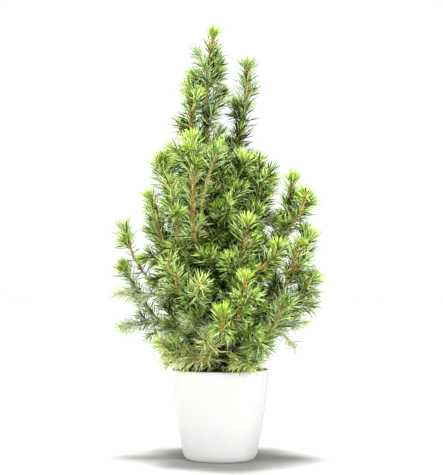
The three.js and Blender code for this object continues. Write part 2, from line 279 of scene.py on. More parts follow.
def plume_tips(points, faces, root, apart):
    """The points that lie farther from the root than all their neighbours, at least 25 mm from it and at
    least 19 mm from each other."""
    away = np.linalg.norm(points - root, axis=1)
    reach = away.copy()
    for k in range(3):
        for other in (1, 2):
            np.maximum.at(reach, faces[:, k], away[faces[:, (k + other) % 3]])
    tips = []
    for i in sorted(np.flatnonzero((reach <= away) & (away > 25 * MM)), key=lambda i: -away[i]):
        if all(apart[i, j] > 19 * MM for j in tips):
            tips.append(i)
    return tips


def plume_lines(name, root):
    """The middle lines of a foliage mass, each from its tip inwards, with the girth along it. From each
    tip the line marches inwards in 4 mm steps. At each step the surface is felt for in 12 directions
    across the line, and the line is moved to the middle of what they reach."""
    points, faces = node_shape(name)
    tree = BVHTree.FromPolygons(points.tolist(), faces.tolist())
    apart = np.linalg.norm(points[:, None] - points[None], axis=2)
    normals = surface_normals(points, faces)
    cosine, sine = circle(12)
    found = []
    for i in plume_tips(points, faces, root, apart):
        around = apart[i] < 12 * MM
        heading = tip_heading = unit(normals[around].mean(0) + 0.3 * unit(points[i] - root))
        centre = points[around].mean(0) - 5 * MM * heading
        line, girths = [], []
        for _ in range(60):
            side = unit(np.cross(heading, [0.3, 0.5, 0.8]))
            feelers = cosine[:, None] * side + sine[:, None] * np.cross(side, heading)
            for _ in range(2):
                hits = [tree.ray_cast(Vector(centre), Vector(feeler), 24 * MM)[3] for feeler in feelers]
                reaches = np.array([24 * MM if hit is None else hit for hit in hits])
                if len(girths) > 3:
                    reaches = np.minimum(reaches, 1.25 * np.median(girths))
                centre = centre + (reaches[:, None] * feelers).mean(0)
            line.append(centre)
            girths.append(reaches.mean())
            if np.linalg.norm(centre - root) < 30 * MM:
                break
            if len(line) > 2:
                heading = unit(0.6 * heading + 0.4 * unit(line[-2] - line[-1]))
            heading = unit(0.75 * heading - 0.25 * unit(root - centre))
            centre = centre - 4 * MM * heading
        hit = tree.ray_cast(Vector(line[0]), Vector(tip_heading), 50 * MM)[0]
        tip = line[0] + 5 * MM * tip_heading if hit is None else np.array(hit)
        found.append((np.concatenate([[tip], line]), np.array([3 * MM] + girths)))
    return found


# ---------------------------------------------------------------- paths of shoots


def resample(line, count=PATH_POINTS, *values):
    """A line, and values along it, at evenly spaced places."""
    steps = np.linalg.norm(np.diff(line, axis=0), axis=1)
    along = np.concatenate([[0], np.cumsum(steps)])
    place = np.linspace(0, along[-1], count)
    columns = [np.interp(place, along, column) for column in (*line.T, *values)]
    return np.stack(columns[:3], 1), *columns[3:]


def soften(line, times=3):
    """Rounds a line's corners: each inner point moves to the average of itself (half) and its
    neighbours."""
    line = line.copy()
    for _ in range(times):
        line[1:-1] = 0.25 * line[:-2] + 0.5 * line[1:-1] + 0.25 * line[2:]
    return line


def path_frames(paths):
    """Tangent, side and front at each point of many paths, from one fixed axis for each path, which is the
    one that the path never runs along."""
    tangent = unit(np.gradient(paths, axis=1))
    fixed = np.eye(3)[np.abs(tangent).max(1).argmin(1)]
    side = unit(np.cross(tangent, fixed[:, None]))
    return tangent, side, np.cross(tangent, side)


def path_lengths(paths):
    """Arc lengths of many paths."""
    return np.linalg.norm(np.diff(paths, axis=1), axis=2).sum(1)


def path_length(path):
    """Arc length of one path."""
    return path_lengths(path[None])[0]


def at(values, shoot, share):
    """Values (shoots, points, ...) of shoot at a share (0 to 1) of its length, by linear interpolation."""
    place = np.clip(share, 0, 1) * (values.shape[1] - 1)
    low = np.minimum(place.astype(int), values.shape[1] - 2)
    blend = (place - low).reshape(place.shape + (1,) * (values.ndim - 2))
    return values[shoot, low] * (1 - blend) + values[shoot, low + 1] * blend


def point_on(path, share):
    """The point at a share of one path's length."""
    return at(path[None], np.zeros(1, int), np.array([share]))[0]


def nearest(points, place):
    """The one of points that is nearest to a place."""
    return points[np.linalg.norm(points - place, axis=1).argmin()]


def taper(foot, tip):
    """Radii along a shoot, from two in mm."""
    return np.linspace(foot, tip, PATH_POINTS) * MM


def deal(counts):
    """For things that are dealt out by rows: the row of each, and its number in that row."""
    row = np.repeat(np.arange(len(counts)), counts)
    return row, np.arange(len(row)) - np.repeat(np.cumsum(counts) - counts, counts)


# ---------------------------------------------------------------- growth


GREEN, BLUE_GREEN, PALE, OLIVE = range(4)  # hues of needles
NEW, RIPE, OLD, SOFT = range(4)  # wood of leading shoots, of side shoots, inside the crown and of pale shoots

# What a shoot is unless it is told otherwise. tone: lighter above 0, which is partly the spray's own tint and
# partly painted light and shade on its needles; tuft: how full the new growth at its tip is; bare: the share
# of its foot without needles; thickset: how many needles; needle: how long they are; parted: 1 where they lie
# to two sides; rank: 1 leading, 2 beside one, 3 inside; tube: whether it gets wood.
SHOOT = dict(
    tone=0.0, tuft=0.0, bare=0.0, thickset=1.0, needle=1.0, parted=0.0, hue=GREEN, rank=1, wood=RIPE,
    tube=True,
)


class Crown:
    """Every shoot of the plant: paths, radii, and what sets its needles and colours."""

    def __init__(self):
        self.rows = []

    def add(self, path, radius, **traits):
        """Puts one shoot in."""
        self.rows.append({**SHOOT, **traits, "path": path, "radius": radius})

    def close(self):
        """Turns the rows into one array for each trait, when every shoot is in."""
        for trait in ("path", "radius", *SHOOT):
            setattr(self, trait, np.array([row[trait] for row in self.rows]))
        self.lengths = path_lengths(self.path)
        self.tangent, self.side, self.front = path_frames(self.path)
        return self


# How the shoots of one bough differ from the rest. tone, tuft, hue, parted: as for a shoot; plumb: how far
# the first leading shoot moves over to stand under its tip; stout: how thick its wood is; upturn: how much
# of its tip stands upright, in mm; inset: how much shorter it is, in mm; dressed: where not 0, the length
# below the tip that alone has full needles, in mm; open: how wide a gap its side shoots leave where it
# faces out; sparse: how far apart they stand; thin: how many needles it has itself.
ORDINARY = dict(
    tone=0.0, tuft=1.0, hue=GREEN, parted=0.15, plumb=0.15, stout=1.0, upturn=6, inset=0, dressed=0, open=0.0,
    sparse=1.0, thin=1.0,
)
# Much of each bough's tone is painted light: it lightens boughs that lie in shade, such as the front spire
# and the low skirt at the front left, and darkens those that take the most light, on the right.
SPRAYS = {
    "front_spire": dict(tone=1.0, tuft=1.6, parted=0.0, plumb=0.85, stout=1.3, open=0.5, thin=0.8),
    "inner_front": dict(tone=0.26, tuft=1.1, parted=0.0, stout=1.15, open=0.45, thin=0.8),
    "high_left": dict(tone=0.06, parted=0.0, stout=1.05),
    "high_right": dict(tone=0.06, tuft=1.1, hue=BLUE_GREEN, parted=0.0, stout=1.05),
    "far_left": dict(tone=-0.14, tuft=2.2, parted=0.1, sparse=2.0, dressed=24),
    "low_left": dict(tone=0.38, tuft=0.3, hue=PALE, parted=0.1, sparse=1.5, upturn=0),
    "back_high": dict(inset=34),
    "shoulder_right": dict(tone=0.07),
    "shoulder_left": dict(tone=0.07),
    "left": dict(tone=0.22),
    "front_left": dict(tone=0.12),
    "right": dict(tone=-0.1, tuft=1.5, parted=0.1),
    "front_right_high": dict(tone=-0.12, tuft=1.3, parted=0.1, inset=8),
    "low_right": dict(tone=-0.14, tuft=0.7, hue=BLUE_GREEN, parted=0.4, inset=5, upturn=4),
    "drooping_right": dict(tone=0.26, tuft=0.3, hue=PALE, parted=0.2, sparse=1.3, upturn=0),
    "front_low": dict(tone=0.02, tuft=1.6, parted=0.2, upturn=28),
    "front_left_low": dict(tone=0.85, tuft=0.3, hue=OLIVE, parted=0.9, upturn=0, sparse=1.7),
    "front_right_low": dict(
        tone=0.12, tuft=0.7, hue=BLUE_GREEN, parted=0.8, stout=0.8, upturn=0, sparse=1.5
    ),
    "front_middle": dict(tuft=1.5, parted=0.0, upturn=12),
    "front_left_middle": dict(tone=0.1, tuft=0.7, parted=0.1),
    "back_left_low": dict(tone=0.3, tuft=0.5, hue=OLIVE, parted=0.8, upturn=0, sparse=1.5),
    "back_right_low": dict(tone=0.1, tuft=0.5, hue=OLIVE, parted=0.8, upturn=0),
    "back_foot": dict(tone=0.1, tuft=0.6, hue=OLIVE, parted=0.8, upturn=0),
}

# Extra twigs that fill out the masses: number (which seeds it), share up the mass's longest shoot, the way
# from there to the twig's tip in mm (right, back, up), how full its tip is, and its hue.
TWIGS = {
    "front_left_middle": [(0, 0.35, (8, -32, 20), 0.45, GREEN), (1, 0.1, (-12, -36, 2), 0.8, PALE)],
    "front_middle": [(2, 0.2, (-10, -34, 26), 0.9, GREEN), (3, 0.05, (-28, -30, 8), 0.8, BLUE_GREEN)],
    "inner_front": [(4, 0.06, (-8, -38, -16), 0.8, GREEN), (5, 0.2, (6, -36, 4), 0.9, BLUE_GREEN)],
    "front_left": [(6, 0.15, (-18, -32, 2), 0.9, GREEN), (7, 0.5, (2, -26, 10), 1.0, GREEN)],
    "left": [
        (8, 0.35, (-30, -4, 2), 0.9, GREEN), (9, 0.15, (-34, -8, -2), 0.6, BLUE_GREEN),
        (10, 0.6, (-10, 14, 20), 0.9, BLUE_GREEN),
    ],
    "far_left": [(11, 0.08, (-70, 12, 4), 0.3, PALE)],
    "low_left": [
        (12, 0.1, (-16, 10, 36), 0.4, BLUE_GREEN), (13, 0.45, (-34, -14, 55), 2.2, GREEN),
        (14, 0.3, (-52, -8, -3), 0.3, PALE), (15, 0.2, (-29, -6, -10), 0.3, PALE),
        (16, 0.5, (-24, -16, 24), 0.3, PALE),
    ],
    "front_left_low": [
        (17, 0.5, (-38, -4, 16), 0.6, OLIVE), (18, 0.3, (-42, 6, -6), 0.5, PALE),
        (19, 0.6, (-12, -16, 18), 0.8, BLUE_GREEN),
    ],
    "front_low": [(20, 0.1, (-30, -26, 4), 0.8, PALE), (21, 0.15, (22, -34, 2), 0.9, GREEN)],
    "front_right_low": [
        (22, 0.1, (-5, -24, -14), 0.5, OLIVE), (23, 0.2, (-7, -34, -2), 0.9, BLUE_GREEN),
        (24, 0.05, (-1, -34, -14), 0.4, OLIVE), (25, 0.05, (-14, -36, -16), 0.4, OLIVE),
    ],
    "shoulder_right": [
        (26, 0.25, (24, 6, 52), 1.0, GREEN), (27, 0.6, (-5, 10, 42), 1.0, GREEN),
        (30, 0.25, (28, 0, 4), 0.9, BLUE_GREEN),
    ],
    "shoulder_left": [(28, 0.7, (-6, -10, 28), 1.0, GREEN), (29, 0.75, (-12, -6, 16), 1.0, GREEN)],
    "right": [(31, 0.6, (24, -6, 24), 1.4, GREEN), (38, 0.3, (7, 4, 40), 1.0, GREEN)],
    "leader": [
        (32, 0.65, (11, -4, 18), 1.0, BLUE_GREEN), (33, 0.72, (11, 4, 18), 1.0, BLUE_GREEN),
        (34, 0.64, (-13, -4, 17), 1.0, BLUE_GREEN),
    ],
    "high_right": [(35, 0.42, (-8, 4, 28), 0.9, BLUE_GREEN)],
    "high_left": [(36, 0.3, (8, -8, 34), 1.0, GREEN)],
    "front_right_high": [(37, 0.72, (2, 2, 34), 1.0, GREEN)],
    "front_spire": [
        (39, 0.75, (-14, 2, 12), 1.0, GREEN), (40, 0.78, (-19, 4, 20), 1.1, GREEN),
        (41, 0.84, (-3, -9, 10), 1.2, GREEN), (42, 0.7, (5, -10, 12), 1.0, GREEN),
        (43, 0.14, (21, -24, 98), 1.7, BLUE_GREEN),
    ],
    "low_right": [
        (44, 0.65, (18, 4, 24), 1.0, GREEN), (45, 0.45, (27, 10, 4), 0.7, GREEN),
        (50, 0.35, (-5, 12, 32), 0.8, BLUE_GREEN), (51, 0.55, (-15, 10, 14), 0.7, BLUE_GREEN),
    ],
    "drooping_right": [(46, 0.45, (34, -6, 8), 0.3, PALE), (47, 0.15, (34, 4, 30), 0.5, BLUE_GREEN)],
    "back_foot": [(48, 0.3, (-18, 30, 6), 0.6, OLIVE), (49, 0.2, (30, 26, 4), 0.6, GREEN)],
}

# How far out the lesser boughs end, as (height, radius) in mm.
FILL_REACH = (
    (100, 42), (122, 48), (140, 64), (165, 76), (205, 76), (250, 62), (300, 48), (340, 36), (385, 22),
    (430, 12),
)
_grown = {}


def habit(hue, parted):
    """How a shoot's needles and wood go with its hue and parting: pale shoots are fine and soft, and combs
    have long needles with gaps between them."""
    if hue == PALE:
        return dict(thickset=1.1, needle=0.78, wood=SOFT)
    return dict(thickset=0.58, needle=1.12) if parted > 0.7 else {}


def outward(turn):
    """The level direction at an angle round the trunk."""
    return np.array([math.cos(turn), math.sin(turn), 0])


def lifted(out, degrees):
    """A level direction lifted by an angle."""
    lift = math.radians(degrees)
    return math.cos(lift) * out + math.sin(lift) * UP


def at_height(axis, height):
    """The point of a standing axis that is nearest to a height."""
    return axis[np.abs(axis[:, 2] - height).argmin()]


def inset_tip(line, inset):
    """A plume's tip, moved in along its last stretch."""
    return line[0] - inset * unit(line[0] - line[min(2, len(line) - 1)])


def side_growth(crown, path, girths, rank, traits, settings, rng, first, last, old=False, most=40 * MM):
    """Side shoots up a path: each turns on by the golden angle, leaves at a spread that closes towards the
    tip, is as long as the girth there allows, and curves up: foot + length (t heading + 0.24 t^2 lift)."""
    length = path_length(path)
    count = int((last - first) * length / (settings.side_gap * traits["sparse"]))
    if count < 1:
        return
    girths = np.broadcast_to(girths, len(path))
    share = first + (last - first) * (np.arange(count) + rng.uniform(0.2, 0.8, count)) / count
    tangent, side, front = (frames[0] for frames in path_frames(path[None]))
    place = share * (len(path) - 1)
    turn = np.arange(count) * GOLDEN_TURN + rng.uniform(0, 6.3) + rng.normal(0, 0.2, count)
    spread = np.radians(np.interp(share, [0, 1], [56, 36]) + rng.normal(0, 5, count))
    t = ALONG[:, None]
    for i in range(count):
        k = int(place[i])
        foot = path[k] + (place[i] - k) * (path[min(k + 1, len(path) - 1)] - path[k])
        out = math.cos(turn[i]) * side[k] + math.sin(turn[i]) * front[k]
        # The girth is felt where the side shoot will end, a little further up.
        girth = np.interp(place[i] + 0.6 * len(path) * girths[k] / length, np.arange(len(path)), girths)
        reach = (girth - 0.5 * MM) / math.sin(spread[i]) - 9.0 * MM
        reach = min(reach, (1 - share[i]) * length * 0.75 + 4 * MM, most) * rng.uniform(0.75, 1.1)
        if reach < 6.5 * MM or out @ unit(foot * LEVEL) > 1 - 1.2 * traits["open"]:
            continue
        heading = math.cos(spread[i]) * tangent[k] + math.sin(spread[i]) * out
        lift = 0.5 * tangent[k] + (0.5 - 0.5 * traits["parted"]) * UP
        # Old inner shoots take a lower tone: painted shade inside the crown, and also the darker needles of
        # older growth.
        made = dict(
            tone=traits["tone"] + rng.normal(0, 0.10) - (0.1 if old else 0.0),
            tuft=traits["tuft"] * rng.uniform(0.2, 0.5),
            parted=traits["parted"],
            hue=traits["hue"] if rng.random() < 0.8 else int(rng.integers(0, 2)),
            **habit(traits["hue"], traits["parted"]),
        )
        if old:
            made["wood"] = OLD
        line = resample(foot + reach * (t * heading + 0.24 * t * t * lift))[0]
        crown.add(line, taper(1.15, 0.75) * (0.8 + 8 * reach), rank=rank, **made)


def grow_shoot(crown, path, thick, dressed, **traits):
    """A shoot with needles all the way, or, where dressed is not 0, on that length below its tip alone:
    the rest is thin old wood with a few short needles."""
    if dressed:
        thick = thick * 0.55
        wood = RIPE if traits["hue"] == BLUE_GREEN else OLD
        crown.add(
            path, thick, tone=-0.25, thickset=0.45, needle=0.7, parted=0.2, hue=BLUE_GREEN, rank=2, wood=wood
        )
        traits.update(bare=1 - dressed / path_length(path), thickset=1.5)
    crown.add(path, thick, tube=not dressed, **traits)


def grow_twigs(crown, mass, parent, settings):
    """The extra twigs of one mass, each with its side shoots. A twig leaves its parent along it and bends
    to its tip, on the curve foot + 2t(1-t) bend + t^2 way. A very full tuft stands on a bare stem."""
    t = ALONG[:, None]
    for number, share, way, tuft, hue in TWIGS.get(mass, ()):
        rng = np.random.default_rng([settings.seed, 100 + number])
        way = np.array(way) * MM
        length = np.linalg.norm(way)
        foot = point_on(parent, share)
        onward = unit(point_on(parent, min(share + 0.15, 1)) - foot)
        bend = 0.35 * way + 0.2 * length * onward
        path, = resample(foot + 2 * t * (1 - t) * bend + t * t * way)
        lighter = {PALE: 0.3, OLIVE: 0.4}.get(hue, 0)
        made = dict(tone=lighter + rng.normal(0.03, 0.05), tuft=tuft, hue=hue, parted=0.1)
        dressed = 20 * MM if tuft > 1.6 else 0
        thick = taper(1.5, 1.0) * (0.65 if hue == PALE else 0.5 + 22 * length)
        grow_shoot(crown, path, thick, dressed, bare=0.05, **made, **habit(hue, 0.1))
        if not dressed:
            traits = {**ORDINARY, **made, "sparse": 1.5 if hue == PALE else 1.0}
            side_growth(crown, path, 14 * MM, 2, traits, settings, rng, 0.25, 0.85, most=24 * MM)


def from_parent(line, girths, taken, root):
    """A plume's line from its foot to its tip. The first one starts at the bough's end. Each other one
    starts on those that are taken, 6 mm nearer the bough than where it last comes within 7 mm of them."""
    start, cut, rest = root, 0, 0
    if taken:
        known = np.concatenate(taken)
        near = np.flatnonzero(np.linalg.norm(line[:, None] - known[None], axis=2).min(1) < 7 * MM)
        cut = near[-1] if len(near) else 0
        foot = nearest(known, line[cut])
        start, rest = nearest(known, foot + 6 * MM * unit(root - foot)), cut + 2
    return np.concatenate([[start], line[rest:]]), np.concatenate([[girths[cut]], girths[rest:]])


def lead_path(line, girths, plumb, upturn, inset):
    """The path, girths and length of a leading shoot. Its last stretch stands upright under its tip. From
    a tenth of the way up, the share plumb of its sideways distance from its tip is taken out, and inset is
    cut off."""
    line, girths = resample(line, 2 * PATH_POINTS, girths)
    to_go = path_length(line) * np.linspace(1, 0, len(line))
    standing = to_go < min(upturn * MM, 0.5 * path_length(line))
    line[standing] = line[-1] - to_go[standing, None] * UP
    moved = plumb * np.clip(np.linspace(0, 10, len(line)), 0, 1)[:, None]
    line[:, :2] += moved * (line[-1, :2] - line[:, :2])
    path, girths = resample(soften(line), PATH_POINTS, girths)
    length = path_length(path) - inset * MM
    place = np.linspace(0, length / path_length(path), PATH_POINTS) * (PATH_POINTS - 1)
    columns = [np.interp(place, np.arange(PATH_POINTS), column) for column in path.T]
    return np.stack(columns, 1), girths, length


def grow_bough(crown, number, bough, settings):
    """One bough: leading shoots up the plumes of its mass with their side shoots, its extra twigs, and
    older growth on the stretch between trunk and mass, whose low tones make its needles darker, partly for
    their age and partly as painted shade inside the crown."""
    rng = np.random.default_rng([settings.seed, number])
    name = bough[len("bough_") :]
    traits = {**ORDINARY, **SPRAYS.get(name, {})}
    axis, _ = limb_axis(bough, 3, 12)
    pale = traits["hue"] == PALE
    lead = {key: traits[key] for key in ("tuft", "parted", "hue")}
    lead.update(habit(traits["hue"], traits["parted"]))
    lead["thickset"] = lead.get("thickset", 1.0) * traits["thin"]
    lead["wood"] = SOFT if pale else NEW if traits["upturn"] else RIPE
    thick = np.interp(ALONG, [0, 0.6, 1], [2.0, 1.8, 1.3]) * MM * traits["stout"] * (0.6 if pale else 1.0)
    taken = []
    for line, girths in sorted(plume_lines("foliage_" + name, axis[-1]), key=lambda found: -len(found[0])):
        line[0] = inset_tip(line, settings.tip_inset)
        line, girths = from_parent(line[::-1], girths[::-1], taken, axis[-1])
        plumb = 0 if taken else traits["plumb"]
        path, girths, length = lead_path(line, girths, plumb, traits["upturn"], traits["inset"])
        if length < 12 * MM or (taken and traits["dressed"]):
            continue
        taken.append(path)
        tone = traits["tone"] + rng.normal(0, 0.05)
        grow_shoot(crown, path, thick, traits["dressed"] * MM, tone=tone, **lead)
        side_growth(crown, path, girths, 2, traits, settings, rng, 0.04, 1 - min(0.4, 16 * MM / length))
    grow_twigs(crown, name, taken[0], settings)
    # The stretch and the shoots on it have low tones: painted shade inside the crown, as well as older
    # needles.
    stretch, = resample(axis)
    crown.add(
        stretch, taper(2.2, 1.6), tone=-0.3, bare=0.25, thickset=0.55, needle=0.85, parted=0.2,
        hue=traits["hue"], rank=3, wood=OLD, tube=False,
    )
    inner = dict(traits, tone=-0.18, tuft=0.35)
    side_growth(crown, stretch, 24 * MM, 3, inner, settings, rng, 0.25, 1.0, old=True, most=32 * MM)


def grow_crown(settings):
    """Grows every shoot once: those of the boughs, the trunk's own top as the leader, lesser boughs
    between the main ones, and short inner shoots on the trunk."""
    if not _grown:
        crown = Crown()
        for number, bough in enumerate(BOUGH_NODES):
            grow_bough(crown, number, bough, settings)
        axis, radii = limb_axis("trunk", 6, 80)
        rng = np.random.default_rng([settings.seed, 300])
        grow_leader(crown, axis, radii, settings, rng)
        grow_fill(crown, axis, settings)
        grow_inner(crown, axis, settings, rng)
        _grown["crown"] = crown.close()
    return _grown["crown"]


def grow_leader(crown, axis, radii, settings, rng):
    """The leader on the trunk's top, its side shoots, and the forks beside it. A fork leaves the trunk
    towards a point a little farther out than halfway, and ends at the tip of one plume, on the curve
    (1-t)^2 foot + 2t(1-t) bow + t^2 end."""
    upper = axis[:, 2] >= 300 * MM  # where the leader starts
    path, thick = resample(axis[upper], PATH_POINTS, radii[upper])
    crown.add(path, thick, tone=0.42, tuft=1.3, thickset=0.72, wood=NEW, tube=False)
    traits = dict(ORDINARY, tone=0.42, sparse=1.2, hue=BLUE_GREEN)
    girths = np.interp(ALONG, [0, 0.2, 0.8, 1], [18, 26, 22, 12]) * MM
    side_growth(crown, path, girths, 2, traits, settings, rng, 0.05, 0.9)
    t = ALONG[:, None]
    for tip, _ in plume_lines("foliage_leader", at_height(axis, 345 * MM)):
        end = inset_tip(tip, settings.tip_inset)
        foot = at_height(axis, end[2] - 30 * MM)
        if end[2] > axis[:, 2].max() - 25 * MM or np.linalg.norm(end - foot) < 12 * MM:
            continue
        bow = foot + 0.55 * (end - foot) + 4 * MM * unit((end - foot) * LEVEL)
        fork, = resample((1 - t) ** 2 * foot + 2 * t * (1 - t) * bow + t * t * end)
        crown.add(fork, taper(1.5, 1.1), tone=0.32, tuft=1.2, needle=0.92, hue=BLUE_GREEN, wood=NEW)
    grow_twigs(crown, "leader", path, settings)


def grow_inner(crown, axis, settings, rng):
    """Inner shoots up the trunk, on the curve foot + length (t heading + 0.2 t^2 up). Their low tone makes
    their needles dark, partly as older growth and partly as painted shade next to the trunk.
    """
    inner = (axis[:, 2] > 112 * MM) & (axis[:, 2] < 335 * MM)
    stem, = resample(axis[inner])
    count = int(path_length(stem) / settings.inner_gap)
    t = ALONG[:, None]
    for i in range(count):
        share = (i + rng.uniform(0.2, 0.8)) / count
        out = outward(i * GOLDEN_TURN + rng.normal(0, 0.3))
        reach = np.interp(share, [0, 0.3, 0.75, 1], [38, 52, 40, 22]) * MM * rng.uniform(0.7, 1.15)
        heading = lifted(out, rng.uniform(12, 48))
        line, = resample(point_on(stem, share) + reach * (t * heading + 0.2 * t * t * UP))
        # A low tone: painted shade next to the trunk, and older needles.
        tone, hue = rng.normal(-0.25, 0.07), int(rng.random() < 0.35)
        crown.add(
            line, taper(1.2, 0.8), tone=tone, tuft=0.35, bare=0.12, thickset=0.85, needle=0.88, parted=0.1,
            hue=hue, rank=3, wood=OLD,
        )


def grow_fill(crown, axis, settings):
    """Lesser boughs between the main ones, all round the trunk: each leaves it at the golden angle from
    the last, goes out and then up on a curve of third degree, and carries side shoots. The lowest lie out
    over the pot."""
    heights, radii = np.array(FILL_REACH).T * MM
    t = ALONG[:, None]
    for i in range(settings.fill):
        rng = np.random.default_rng([settings.seed, 400 + i])
        share = (i + rng.uniform(0.1, 0.9)) / settings.fill
        low = share < 0.3
        start = np.interp(share, [0, 0.32, 1], [100, 130, 302]) * MM
        foot = at_height(axis, start)
        out = outward(i * GOLDEN_TURN + rng.normal(0, 0.25))
        rise = np.interp(share, [0, 0.1, 0.2, 0.4, 1], [10, 13, 30, 55, 62]) * MM
        top = start + rise * rng.uniform(0.7, 1.3)
        end = top * UP + out * np.interp(top, heights, radii) * rng.uniform(0.72, 1.0)
        span = end - foot
        first = foot + 0.45 * span * LEVEL + 0.15 * span * UP
        tilt = np.interp(share, [0, 0.25, 0.55, 1], [8, 22, 52, 74])
        second = end - 0.35 * np.linalg.norm(span) * lifted(out, tilt)
        path, = resample(
            (1 - t) ** 3 * foot + 3 * t * (1 - t) ** 2 * first + 3 * t * t * (1 - t) * second + t**3 * end
        )
        hues = [GREEN, BLUE_GREEN, PALE, OLIVE] if share < 0.35 else [GREEN, GREEN, GREEN, BLUE_GREEN]
        hue = int(rng.choice(hues))
        # The low ones get a higher tone: painted light that makes up for the crown's shade over them.
        tone = rng.normal(0.2 if low else 0.03, 0.06)
        made = dict(tone=tone, tuft=rng.uniform(0.6, 1.1), hue=hue, parted=0.85 if low else 0.1)
        crown.add(path, taper(1.6, 1.05), bare=0.12, **made, **habit(hue, made["parted"]))
        traits = {**ORDINARY, **made}
        side_growth(crown, path, 15 * MM, 3, traits, settings, rng, 0.3, 0.85, most=24 * MM)


# ---------------------------------------------------------------- needles


def blades(rows, chosen, width, sides=4, bulge=0.55, base=0.6):
    """Slim closed blades, one for each chosen row: a ring at the foot, a wider ring at the share bulge of
    the length, and a point. The middle line is foot + length (t heading + t^2 lean), so lean bends it.
    Across, the rings are a little flat."""
    foot, heading, lean, length = (rows[key][chosen] for key in ("foot", "heading", "lean", "length"))
    count, length = len(foot), length[:, None]
    across = unit(np.cross(heading, lean + 1e-4 * UP + 1e-5))
    above = unit(np.cross(across, heading))
    cosine, sine = circle(sides, math.pi / 4)
    ring = cosine[:, None] * across[:, None] + 0.8 * sine[:, None] * above[:, None]
    half = 0.5 * np.broadcast_to(width, count)[:, None, None]
    points = np.empty((count, 2 * sides + 1, 3))
    points[:, :sides] = foot[:, None] + base * half * ring
    points[:, sides:-1] = (foot + length * (bulge * heading + bulge**2 * lean))[:, None] + half * ring
    points[:, -1] = foot + length * (heading + lean)
    start = np.arange(count)[:, None, None] * (2 * sides + 1)
    side, after = next_round(sides)
    # Across, above and heading are left-handed, so each ring is taken the other way round.
    flanks = np.stack([side, sides + side, sides + after, after], 1)
    ends = np.stack([sides + side, np.full(sides, 2 * sides), sides + after], 1)
    faces = [(start + part).reshape(-1, part.shape[1]) for part in (flanks, ends, side[None])]
    return points.reshape(-1, 3), faces


def needles_at(crown, shoot, share, turn, spread, length, rng, lean):
    """Needles on shoots: they leave the wood's surface at a turn about it and a spread from it, and bend
    forwards along the shoot. Where a shoot is parted, those on its inner side swing out to its sides."""
    tangent = unit(at(crown.tangent, shoot, share))
    side = unit(at(crown.side, shoot, share))
    front = np.cross(tangent, side)
    middle = at(crown.path, shoot, share)
    out = np.cos(turn)[:, None] * side + np.sin(turn)[:, None] * front
    facing = unit(unit(middle * LEVEL) + 0.5 * UP)  # the side a comb shows
    level = unit(np.cross(tangent, facing) + 1e-9)
    low = np.clip(-(out * facing).sum(1), 0, 1)[:, None]
    along = (tangent * facing).sum(1)
    flat = np.sqrt(np.clip(1 - along**2, 0, 1))[:, None] * crown.parted[shoot][:, None]
    swing = np.sign((out * level).sum(1, keepdims=True)) * level
    out = unit(out * (1 - 0.55 * flat) + swing * flat * (0.35 + 0.9 * low))
    out = unit(out - (out * tangent).sum(1, keepdims=True) * tangent)
    heading = unit(np.cos(spread)[:, None] * tangent + np.sin(spread)[:, None] * out)
    heading = unit(heading + rng.normal(0, 0.12, heading.shape))
    foot = middle + 0.8 * at(crown.radius, shoot, share)[:, None] * out
    bend = lean * tangent + rng.normal(0, 0.04, tangent.shape) - 0.03 * UP
    return dict(foot=foot, heading=heading, lean=bend, length=length, shoot=shoot, share=share)


def share_above(bare, local, count, rng):
    """Shares of a shoot's length, one at random in each of count even steps above its bare foot."""
    return bare + (1 - bare) * (local + rng.uniform(0, 1, len(local))) / count


def full_needles(crown, settings, rng):
    """The needles up every shoot: each turns on by the golden angle, and they close towards the tip."""
    per_mm = settings.per_cm / 10
    counts = np.round(crown.lengths / MM * per_mm * crown.thickset * (1 - crown.bare)).astype(int)
    shoot, local = deal(counts)
    count = len(shoot)
    share = share_above(crown.bare[shoot], local, counts[shoot], rng)
    turn = local * GOLDEN_TURN + rng.normal(0, 0.16, count) + shoot * 1.7
    left = (1 - share) * crown.lengths[shoot]  # way still to go to the tip
    spread = np.radians(np.interp(left / MM, [0, 6, 25, 80], [26, 40, 54, 60]) + rng.normal(0, 12, count))
    size = np.interp(left / MM, [0, 8, 22], [0.84, 0.94, 1.0]) * rng.uniform(0.86, 1.08, count)
    length = settings.needle_length * crown.needle[shoot] * size
    # Few needles on the collar below a tuft, where the bud scales are.
    collar = (left > 3 * MM) & (left < 9 * MM)
    kept = ~(collar & (rng.random(count) < 0.35 * np.clip(crown.tuft[shoot], 0, 1.6) - 0.1))
    shoot, share, turn, spread, length = (row[kept] for row in (shoot, share, turn, spread, length))
    rows = needles_at(crown, shoot, share, turn, spread, length, rng, 0.06)
    return {**rows, "inside": np.zeros(len(shoot))}


def new_needles(crown, settings, rng):
    """New growth: a shaving brush at each tip, upright inside and splayed outside. Each row's inside is
    near 0 at the outside of its brush and near 1 in the middle."""
    brush = np.round(settings.brush * crown.tuft).astype(int)
    shoot, local = deal(brush)
    count = len(shoot)
    inside = (local + 0.5) / brush[shoot]
    share = 1 - (1 - inside) * 3.5 * MM / crown.lengths[shoot]
    opening = rng.uniform(42, 66, len(brush))[shoot]
    spread = np.radians(opening + (8 - opening) * inside + rng.normal(0, 5, count))
    length = np.interp(inside, [0, 1], [16.5, 13.0]) * MM * rng.uniform(0.8, 1.1, count)
    length *= np.interp(crown.tuft[shoot], [0.3, 1.3], [0.85, 1.05]) * crown.needle[shoot]
    turn = local * GOLDEN_TURN + rng.normal(0, 0.2, count)
    return {**needles_at(crown, shoot, share, turn, spread, length, rng, 0.1), "inside": inside}


TINTS = ("new", "bright", "mid", "deep", "shaded", "blue_green", "pale", "olive")
# The tints that the painted light picks, from painted shade to painted light.
BY_PAINTED_LIGHT = [TINTS.index(name) for name in ("shaded", "deep", "mid", "bright")]
